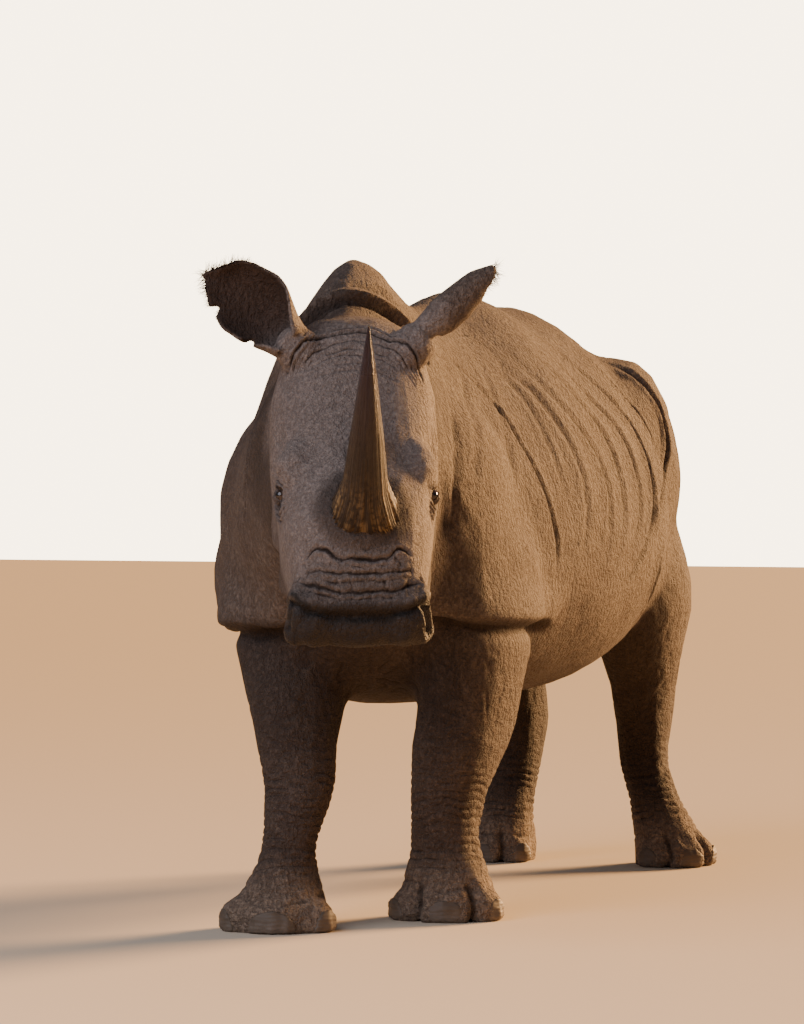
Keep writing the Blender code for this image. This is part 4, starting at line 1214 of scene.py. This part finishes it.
def horn_material(settings):
    """Rhinoceros horn: matted hair, pale and fibrous at the foot, dark and rubbed at the tip."""
    made, tree, shader = new_material("matted_hair_horn")
    strand = node(tree, "ShaderNodeAttribute", out="Vector", attribute_name="strand")
    share = node(tree, "ShaderNodeAttribute", out="Fac", attribute_name="share")
    # Fibres about 2 mm across, drawn out along the horn; their broken ends near the foot catch dust
    # in flecks of about 7 mm
    drawn = node(tree, "ShaderNodeMapping", {"Vector": strand, "Scale": (1.0, 1.0, 0.035)})
    fibres, broad, patches, broken = (
        node(
            tree, "ShaderNodeTexNoise",
            {"Vector": at, "Scale": scale, "Detail": detail, "Roughness": rough},
        )
        for at, scale, detail, rough in (
            (drawn, 260.0, 4.0, 0.6), (drawn, 70.0, 3.0, 0.5), (strand, 14.0, 4.0, 0.5),
            (strand, 75.0, 3.0, 0.5),
        )
    )
    both = node(tree, "ShaderNodeMath", (fibres, broad), operation="ADD")
    foot = node(tree, "ShaderNodeMath", (patches, 0.40, share), operation="MULTIPLY_ADD")
    streak = node(tree, "ShaderNodeMapRange", (both, 0.80, 1.25), **SMOOTH)
    pale = streak
    for numbers in (
        (foot, 0.22, 0.66, 1.0, 0.05), (patches, 0.35, 0.62, 0.25, 1.0),
        (broken, 0.40, 0.55, 0.20, 1.0),
    ):
        step = node(tree, "ShaderNodeMapRange", numbers, **SMOOTH)
        pale = node(tree, "ShaderNodeMath", (pale, step), operation="MULTIPLY")
    worn = node(tree, "ShaderNodeMapRange", (share, 0.35, 0.95), **SMOOTH)
    base = rgba(settings.body)
    for amount, tint in ((pale, settings.rough), (worn, settings.worn)):
        base = node(tree, "ShaderNodeMix", {0: amount, 6: base, 7: rgba(tint)}, **COLOUR_MIX)
    connect(tree, shader, {
        "Base Color": base,
        "Roughness": node(tree, "ShaderNodeMapRange", (share, 0.2, 0.95, 0.58, 0.24), **SMOOTH),
        "Specular IOR Level": 0.45,
        "Normal": node(tree, "ShaderNodeBump", {"Strength": 0.9, "Distance": 0.002, "Height": streak}),
    })
    return made


def make_horn(name, settings, long):
    obj = as_object(name + "_fibres", horn_mesh(name, HORNS[name], long))
    obj.data.materials.append(horn_material(settings))
    obj.data.shade_smooth()
    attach(obj, "root")
    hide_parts(name)


# ---------------------------------------------------------------- eyes


def eye_mesh(name, side, radius):
    """An eyeball with a bulging cornea that looks out of the side of the head."""
    head = head_frame()
    gaze = Vector(eye_axes(head, side)[0])
    body = bmesh.new()
    bmesh.ops.create_uvsphere(body, u_segments=56, v_segments=36, radius=1)
    turned = gaze.to_track_quat("Z", "Y").to_matrix()
    angles = []
    for vert in body.verts:
        angle = math.acos(max(-1.0, min(1.0, vert.co.z)))
        bulge = 1 + 0.07 * bell(angle, 0.55)
        angles.append(angle)
        vert.co = centre(name) + turned @ (vert.co * radius * bulge)
    mesh = from_body(name, body)
    set_attribute(mesh, "from_gaze", np.array(angles))
    return mesh


def eye_material(settings):
    """A wet eye: near-black pupil, dark brown iris, brownish white, and a clear, shining film."""
    made, tree, shader = new_material("wet_brown_eye")
    angle = node(tree, "ShaderNodeAttribute", out="Fac", attribute_name="from_gaze")
    place = node(tree, "ShaderNodeTexCoord", out="Object")
    flecks = node(tree, "ShaderNodeTexNoise", {"Vector": place, "Scale": 420.0, "Detail": 3.0})
    flecks = node(tree, "ShaderNodeMath", (flecks, 0.5), operation="MULTIPLY")
    iris = node(
        tree, "ShaderNodeMix", {0: flecks, 6: rgba(settings.iris), 7: rgba(settings.white)}, **COLOUR_MIX
    )
    base = rgba(PUPIL)
    for low, high, tint in ((0.26, 0.32, iris), (0.70, 0.80, rgba(settings.white))):
        beyond = node(tree, "ShaderNodeMapRange", (angle, low, high), **SMOOTH)
        base = node(tree, "ShaderNodeMix", {0: beyond, 6: base, 7: tint}, **COLOUR_MIX)
    connect(tree, shader, {
        "Base Color": base, "Roughness": 0.12, "Coat Weight": 0.4, "Coat Roughness": 0.03,
        "Coat IOR": 1.376,
    })
    return made


# ---------------------------------------------------------------- toenails


def nail_mesh():
    """All the toenails, grown finer from their nodes, with ridges of growth."""
    body = bmesh.new()
    for name in NAILS:
        node_body(body, name, 0.0)
    obj = as_object("toenails", from_body("toenails", body))
    remesh = obj.modifiers.new("grow finer", "REMESH")
    remesh.mode = "VOXEL"
    remesh.voxel_size = NAIL_VOXEL
    apply_modifiers(obj)
    nails = Surface(obj.data)
    nails.relax(0.6, 30)
    nails.shift += 0.0005 * np.sin(nails.at[:, 2] * 2 * math.pi / 0.011 + ripple(nails.at, 0.05, 31))
    nails.shift += 0.0012 * ripple(nails.at, 0.03, 32)
    nails.settle()
    nails.at[:, 2] = np.maximum(nails.at[:, 2], NAIL_CLEAR)
    nails.write()
    thin = obj.modifiers.new("thin out", "DECIMATE")
    thin.ratio = min(1.0, NAIL_TRIANGLES / (2 * len(obj.data.polygons)))
    apply_modifiers(obj)
    return obj


def nail_material(settings):
    """Toenail: dull, ridged horn with dust in its grooves and a rubbed lower edge."""
    made, tree, shader = new_material("dusty_toenail")
    place = node(tree, "ShaderNodeTexCoord", out="Object")
    # Growth lines about 4 mm apart, and 1 mm scratches
    drawn = node(tree, "ShaderNodeMapping", {"Vector": place, "Scale": (0.25, 0.25, 1.0)})
    lines = node(tree, "ShaderNodeTexNoise", {"Vector": drawn, "Scale": 190.0, "Detail": 4.0})
    patches = node(tree, "ShaderNodeTexNoise", {"Vector": place, "Scale": 34.0, "Detail": 5.0})
    level = node(tree, "ShaderNodeSeparateXYZ", (place,), out="Z")
    low = node(tree, "ShaderNodeMapRange", (level, 0.0, 0.05, 1.0, 0.0), **SMOOTH)
    edge = node(tree, "ShaderNodeMath", (low, patches), operation="MULTIPLY")
    dusty = node(tree, "ShaderNodeMapRange", (lines, 0.35, 0.65, 0.0, 0.25), **SMOOTH)
    base = rgba(settings.horn)
    for amount, tint in ((dusty, settings.groove), (edge, settings.worn)):
        base = node(tree, "ShaderNodeMix", {0: amount, 6: base, 7: rgba(tint)}, **COLOUR_MIX)
    connect(tree, shader, {
        "Base Color": base, "Roughness": 0.62, "Specular IOR Level": 0.4,
        "Normal": node(tree, "ShaderNodeBump", {"Strength": 0.8, "Distance": 0.0015, "Height": lines}),
    })
    return made


# ---------------------------------------------------------------- hair


def socket(tree, name, kind, value=None):
    made = tree.interface.new_socket(name, in_out="INPUT", socket_type=kind)
    if value is not None:
        made.default_value = value
    return made


def hair_tree(material):
    """Geometry nodes that set a bent, tapering hair on every root, along its own lie."""
    tree = bpy.data.node_groups.new("hairs", "GeometryNodeTree")
    tree.interface.new_socket("Geometry", in_out="OUTPUT", socket_type="NodeSocketGeometry")
    socket(tree, "Geometry", "NodeSocketGeometry")
    socket(tree, "Thickness", "NodeSocketFloat", 0.02)
    socket(tree, "Bend", "NodeSocketFloat", 0.3)
    socket(tree, "Seed", "NodeSocketInt", 7)
    roots, thickness, bend, seed = node(tree, "NodeGroupInput", out=slice(0, 4))
    tip = node(tree, "ShaderNodeCombineXYZ", {"X": bend, "Z": 1.0})
    spine = node(
        tree, "GeometryNodeCurveQuadraticBezier",
        {"Resolution": 4, "Start": (0, 0, 0), "Middle": (0, 0, 0.55), "End": tip},
    )
    along = node(tree, "GeometryNodeSplineParameter", out="Factor")
    spine = node(
        tree, "GeometryNodeStoreNamedAttribute", {"Geometry": spine, "Name": "rise", "Value": along},
        data_type="FLOAT", domain="POINT",
    )
    section = node(tree, "GeometryNodeCurvePrimitiveCircle", {"Resolution": 4, "Radius": thickness})
    taper = node(tree, "ShaderNodeMapRange", {"Value": along, "To Min": 1.0, "To Max": 0.12})
    hair = node(
        tree, "GeometryNodeCurveToMesh",
        {"Curve": spine, "Profile Curve": section, "Scale": taper, "Fill Caps": True},
    )
    lie, size = (
        node(tree, "GeometryNodeInputNamedAttribute", {"Name": name}, out="Attribute", data_type=kind)
        for name, kind in (("lie", "FLOAT_VECTOR"), ("size", "FLOAT"))
    )
    aim = node(tree, "FunctionNodeAlignRotationToVector", {"Vector": lie}, axis="Z")
    spin = node(tree, "FunctionNodeRandomValue", {2: 0.0, 3: 6.283, "Seed": seed}, out=1, data_type="FLOAT")
    about = node(tree, "ShaderNodeCombineXYZ", {"Z": spin})
    turned = node(
        tree, "FunctionNodeRotateRotation", {"Rotation": aim, "Rotate By": about}, rotation_space="LOCAL"
    )
    points = node(tree, "GeometryNodeMeshToPoints", {"Mesh": roots})
    placed = node(
        tree, "GeometryNodeInstanceOnPoints",
        {"Points": points, "Instance": hair, "Rotation": turned, "Scale": size},
    )
    real = node(tree, "GeometryNodeRealizeInstances", {"Geometry": placed})
    dressed = node(tree, "GeometryNodeSetMaterial", {"Geometry": real, "Material": material})
    node(tree, "NodeGroupOutput", {"Geometry": dressed})
    return tree


def hair_piece(name, roots, thickness, bend, material):
    """One mesh of hairs from roots of (place, lie, length, place on the hairs' bake map).

    Thickness and bend are shares of a hair's length.
    """
    mesh = bpy.data.meshes.new(name)
    mesh.from_pydata([tuple(r[0]) for r in roots], [], [])
    set_attribute(mesh, "lie", np.array([tuple(r[1]) for r in roots]))
    set_attribute(mesh, "unwrap", np.array([(*r[3], 0) for r in roots]))
    set_attribute(mesh, "size", np.array([r[2] for r in roots]))
    obj = as_object(name, mesh)
    tree = hair_tree(material)
    hairs = obj.modifiers.new("hairs", "NODES")
    hairs.node_group = tree
    for key, value in (("Thickness", thickness), ("Bend", bend), ("Seed", 7)):
        hairs[next(i.identifier for i in tree.interface.items_tree if i.name == key)] = value
    apply_modifiers(obj)
    bake = obj.data.uv_layers.new(name="OFBake")
    corners = np.empty(len(obj.data.loops), np.int64)
    obj.data.loops.foreach_get("vertex_index", corners)
    at = read(obj.data.attributes["unwrap"].data, "vector")[corners, :2]
    patch = np.stack([read(obj.data.attributes["rise"].data, "value", 1)[corners], corners % 4 / 4], axis=1)
    bake.data.foreach_set("uv", (at + 0.003 * patch).ravel())
    obj.data.shade_smooth()
    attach(obj, "root")
    return obj


def hair_material(settings):
    """Coarse bristle: dark, slightly glossy, a little paler where it is dusty."""
    made, tree, shader = new_material("dark_bristle")
    place = node(tree, "ShaderNodeTexCoord", out="Object")
    # Dust in patches of about 8 mm
    patches = node(tree, "ShaderNodeTexNoise", {"Vector": place, "Scale": 120.0, "Detail": 2.0})
    dust = node(tree, "ShaderNodeMapRange", (patches, 0.4, 0.7, 0.0, 0.35), **SMOOTH)
    tints = {6: rgba(settings.dark), 7: rgba(settings.dusty)}
    base = node(tree, "ShaderNodeMix", {0: dust, **tints}, **COLOUR_MIX)
    connect(tree, shader, {"Base Color": base, "Roughness": 0.5, "Specular IOR Level": 0.4})
    return made


def fringe_roots(name, settings, hide_settings, rng):
    """Hair roots along an ear's edge, thickest towards the tip."""
    grid = leaf_grid(name, hide_settings)
    turned = ear_frame(name)
    left, right = grid[8:, 0], grid[8:, -1]
    edge = np.vstack([left, grid[-1, 1:-1], right[::-1]])
    inner = np.vstack([grid[8:, 3], grid[-4, 1:-1], grid[8:, -4][::-1]])
    rise = edge[:, 2] / hide_settings.ear_length
    spans = np.concatenate([[0], np.cumsum(np.linalg.norm(np.diff(edge, axis=0), axis=1))])
    roots = []
    for along in np.arange(0, spans[-1], FRINGE_STEP):
        at = np.array([np.interp(along, spans, edge[:, k]) for k in range(3)])
        base = np.array([np.interp(along, spans, inner[:, k]) for k in range(3)])
        share = float(np.interp(along, spans, rise))
        if rng.random() > 0.15 + 0.85 * blend(share, 0.35, 0.75):
            continue
        out = (at - base) / np.linalg.norm(at - base)
        lie = out + rng.normal(0, 0.28, 3) + np.array([0, 0, 0.25])
        long = settings.fringe_length * (0.25 + 0.75 * blend(share, 0.4, 0.95)) * rng.uniform(0.5, 1.1)
        place = turned @ Vector(at - 0.004 * out + rng.normal(0, 0.0018, 3))
        unwrapped = (0.05 + 0.9 * along / spans[-1], 0.2 + 0.5 * (name == "ear_left"))
        roots.append((place, turned.to_3x3() @ Vector(lie), long, unwrapped))
    return roots


def tail_roots(settings, rng):
    """Bristles on the front and back edges of the tail's end."""
    points = np.array([tuple(v.co) for v in frame["nodes"]["tail"].data.vertices])
    foot = points[:, 2].min()
    roots = []
    for _ in range(TAIL_HAIRS):
        up = rng.random() ** 1.3 * 0.16
        ring = points[np.abs(points[:, 2] - foot - 0.02 - up) < 0.05]
        middle, wide = ring.mean(axis=0), ring.std(axis=0)
        edge = rng.choice((-1, 1))
        angle = rng.normal(0, 0.5) + (0 if edge > 0 else math.pi)
        out = np.array([math.sin(angle) * 0.7, math.cos(angle), 0])
        at = np.array([middle[0], middle[1], foot + 0.015 + up]) + out * (0.4 * wide[:2].mean())
        lie = Vector((out[0] * 0.30, out[1] * 0.30, -1)) + Vector(rng.normal(0, 0.08, 3))
        long = settings.tail_length * (1 - 2.6 * up) * rng.uniform(0.55, 1.0)
        roots.append((at, lie, long, (angle / 12 + 0.4, 0.1 + 4 * up)))
    return roots


def lash_roots(settings, radius, rng):
    """Short hairs on the upper lids."""
    head = head_frame()
    roots = []
    for sign in (1, -1):
        eye = np.array(head @ Vector((sign * EYE_OUT, -EYE_ALONG, 0)))
        gaze, slit, up = eye_axes(head, sign)
        for step in range(LASHES):
            u = -0.72 + 1.44 * (step + rng.uniform(-0.3, 0.3)) / (LASHES - 1)
            v = 0.10 * (1 - (u / 0.8) ** 2) + 0.36 * math.sqrt(max(0.0, 1 - (u / 0.82) ** 2)) * 1.08
            out = u * slit + v * up + math.sqrt(max(0.0, 1 - u * u - v * v)) * gaze
            lie = out + 0.25 * up + 0.3 * u * slit + rng.normal(0, 0.10, 3)
            long = settings.lash_length * rng.uniform(0.6, 1.0)
            unwrapped = (0.1 + step / 60, 0.3 + 0.4 * (sign > 0))
            roots.append((eye + out * (radius + 0.0025), lie, long, unwrapped))
    return roots


# ---------------------------------------------------------------- operators


class RHINO_OT_hide(bpy.types.Operator):
    """Grows the hide over trunk, neck, head, legs, ears and tail"""

    bl_idname = "rhino.hide"
    bl_label = "Hide"

    def execute(self, context):
        settings = context.scene.rhino_hide
        obj = make_hide_form(settings)
        mark_folds(obj)
        thin_out(obj, settings.triangles)
        mark_zones(obj)
        obj.data.shade_smooth()
        obj.data.materials.clear()
        obj.data.materials.append(hide_material(settings))
        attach(obj, "root")
        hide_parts(*FLESH)
        return {"FINISHED"}


class RHINO_OT_horns(bpy.types.Operator):
    """Grows the two horns"""

    bl_idname = "rhino.horns"
    bl_label = "Horns"

    def execute(self, context):
        settings = context.scene.rhino_horn
        make_horn("horn_front", settings, settings.front_length)
        make_horn("horn_rear", settings, settings.rear_length)
        return {"FINISHED"}


class RHINO_OT_eyes(bpy.types.Operator):
    """Sets both eyes"""

    bl_idname = "rhino.eyes"
    bl_label = "Eyes"

    def execute(self, context):
        settings = context.scene.rhino_eye
        material = eye_material(settings)
        for name, side in (("eye_left", 1), ("eye_right", -1)):
            obj = as_object(name + "_ball", eye_mesh(name, side, settings.radius))
            obj.data.materials.append(material)
            obj.data.shade_smooth()
            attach(obj, "root")
            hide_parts(name)
        return {"FINISHED"}


class RHINO_OT_nails(bpy.types.Operator):
    """Sets the toenails"""

    bl_idname = "rhino.nails"
    bl_label = "Toenails"

    def execute(self, context):
        settings = context.scene.rhino_nail
        obj = nail_mesh()
        obj.data.materials.clear()
        obj.data.materials.append(nail_material(settings))
        obj.data.shade_smooth()
        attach(obj, "root")
        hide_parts(*NAILS)
        return {"FINISHED"}


class RHINO_OT_hair(bpy.types.Operator):
    """Grows the fringes of the ears, the tail's bristles and the lashes"""

    bl_idname = "rhino.hair"
    bl_label = "Hair"

    def execute(self, context):
        settings = context.scene.rhino_hair
        material = hair_material(settings)
        rng = np.random.default_rng(5)
        fringe = []
        for name in EARS:
            fringe += fringe_roots(name, settings, context.scene.rhino_hide, rng)
        hair_piece("ear_fringes", fringe, 0.030, 0.35, material)
        hair_piece("tail_bristles", tail_roots(settings, rng), 0.006, 0.25, material)
        hair_piece(
            "eyelashes", lash_roots(settings, context.scene.rhino_eye.radius, rng), 0.016, 0.40, material
        )
        return {"FINISHED"}


# Name, place, target, width (0 for a sun), strength and colour
LAMPS = (
    ("low_sun", (4.9, 10.4, 4.5), (0, 0.2, 1.0), 0, 15.3, "#ffc586"),
    ("sky_front", (-2.0, -8.5, 6.0), (0, -0.4, 0.9), 9.0, 900, "#e6e7f6"),
)
CAMERA_AT = (4.565, -10.438, 1.197)
CAMERA_TURN = 24  # degrees, from looking along +Y
CAMERA_DIP = 0.521  # degrees below level


class RHINO_OT_stage(bpy.types.Operator):
    """Lays the floor and sets lights and camera"""

    bl_idname = "rhino.stage"
    bl_label = "Stage"

    def execute(self, context):
        settings = context.scene.rhino_stage
        scene = context.scene
        body = bmesh.new()
        bmesh.ops.create_grid(body, x_segments=1, y_segments=1, size=40)
        floor = as_object("floor", from_body("floor", body))
        painted, tree, shader = new_material("painted_floor")
        connect(tree, shader, {"Base Color": rgba(settings.floor), "Roughness": 0.9})
        floor.data.materials.append(painted)
        world = scene.world or bpy.data.worlds.new("surroundings")
        scene.world = world
        world.use_nodes = True
        tree = world.node_tree
        connect(tree, tree.nodes["Background"], {"Color": rgba(settings.sky), "Strength": 0.20})
        seen = node(tree, "ShaderNodeBackground", {"Color": rgba(settings.backdrop), "Strength": 7.0})
        path = node(tree, "ShaderNodeLightPath", out="Is Camera Ray")
        both = node(tree, "ShaderNodeMixShader", (path, tree.nodes["Background"].outputs[0], seen))
        connect(tree, tree.nodes["World Output"], {"Surface": both})
        for name, at, target, size, power, tint in LAMPS:
            lamp = bpy.data.lights.new(name, "AREA" if size else "SUN")
            if size:
                lamp.shape = "DISK"
                lamp.size = size
            else:
                lamp.angle = math.radians(20)
            lamp.energy = power
            lamp.color = linear(tint)
            obj = bpy.data.objects.new(name, lamp)
            obj.location = at
            obj.rotation_euler = (Vector(target) - Vector(at)).to_track_quat("-Z", "Y").to_euler()
            scene.collection.objects.link(obj)
        lens = bpy.data.cameras.new("camera")
        lens.sensor_width = 36
        lens.lens = settings.focal
        lens.clip_end = 200
        camera = bpy.data.objects.new("camera", lens)
        camera.location = CAMERA_AT
        camera.rotation_euler = (math.radians(90 - CAMERA_DIP), 0, math.radians(CAMERA_TURN))
        scene.collection.objects.link(camera)
        scene.camera = camera
        return {"FINISHED"}


class RHINO_PT_panel(bpy.types.Panel):
    """Lists the pieces of the animal"""

    bl_idname = "RHINO_PT_panel"
    bl_label = "White rhinoceros"
    bl_space_type = "VIEW_3D"
    bl_region_type = "UI"
    bl_category = "Rhinoceros"

    def draw(self, context):
        for operator in OPERATORS:
            self.layout.operator(operator.bl_idname)


SETTINGS = {
    "rhino_hide": HideSettings,
    "rhino_horn": HornSettings,
    "rhino_eye": EyeSettings,
    "rhino_nail": NailSettings,
    "rhino_hair": HairSettings,
    "rhino_stage": StageSettings,
}
OPERATORS = (RHINO_OT_hide, RHINO_OT_horns, RHINO_OT_eyes, RHINO_OT_nails, RHINO_OT_hair, RHINO_OT_stage)


def register():
    for item in (*SETTINGS.values(), *OPERATORS, RHINO_PT_panel):
        bpy.utils.register_class(item)
    for name, group in SETTINGS.items():
        setattr(bpy.types.Scene, name, PointerProperty(type=group))


def unregister():
    for name in SETTINGS:
        delattr(bpy.types.Scene, name)
    for item in reversed((*SETTINGS.values(), *OPERATORS, RHINO_PT_panel)):
        bpy.utils.unregister_class(item)


def main():
    register()
    clear_stage()
    bpy.ops.rhino.hide()
    bpy.ops.rhino.horns()
    bpy.ops.rhino.eyes()
    bpy.ops.rhino.nails()
    bpy.ops.rhino.hair()
    bpy.ops.rhino.stage()


if __name__ == "__main__":
    main()
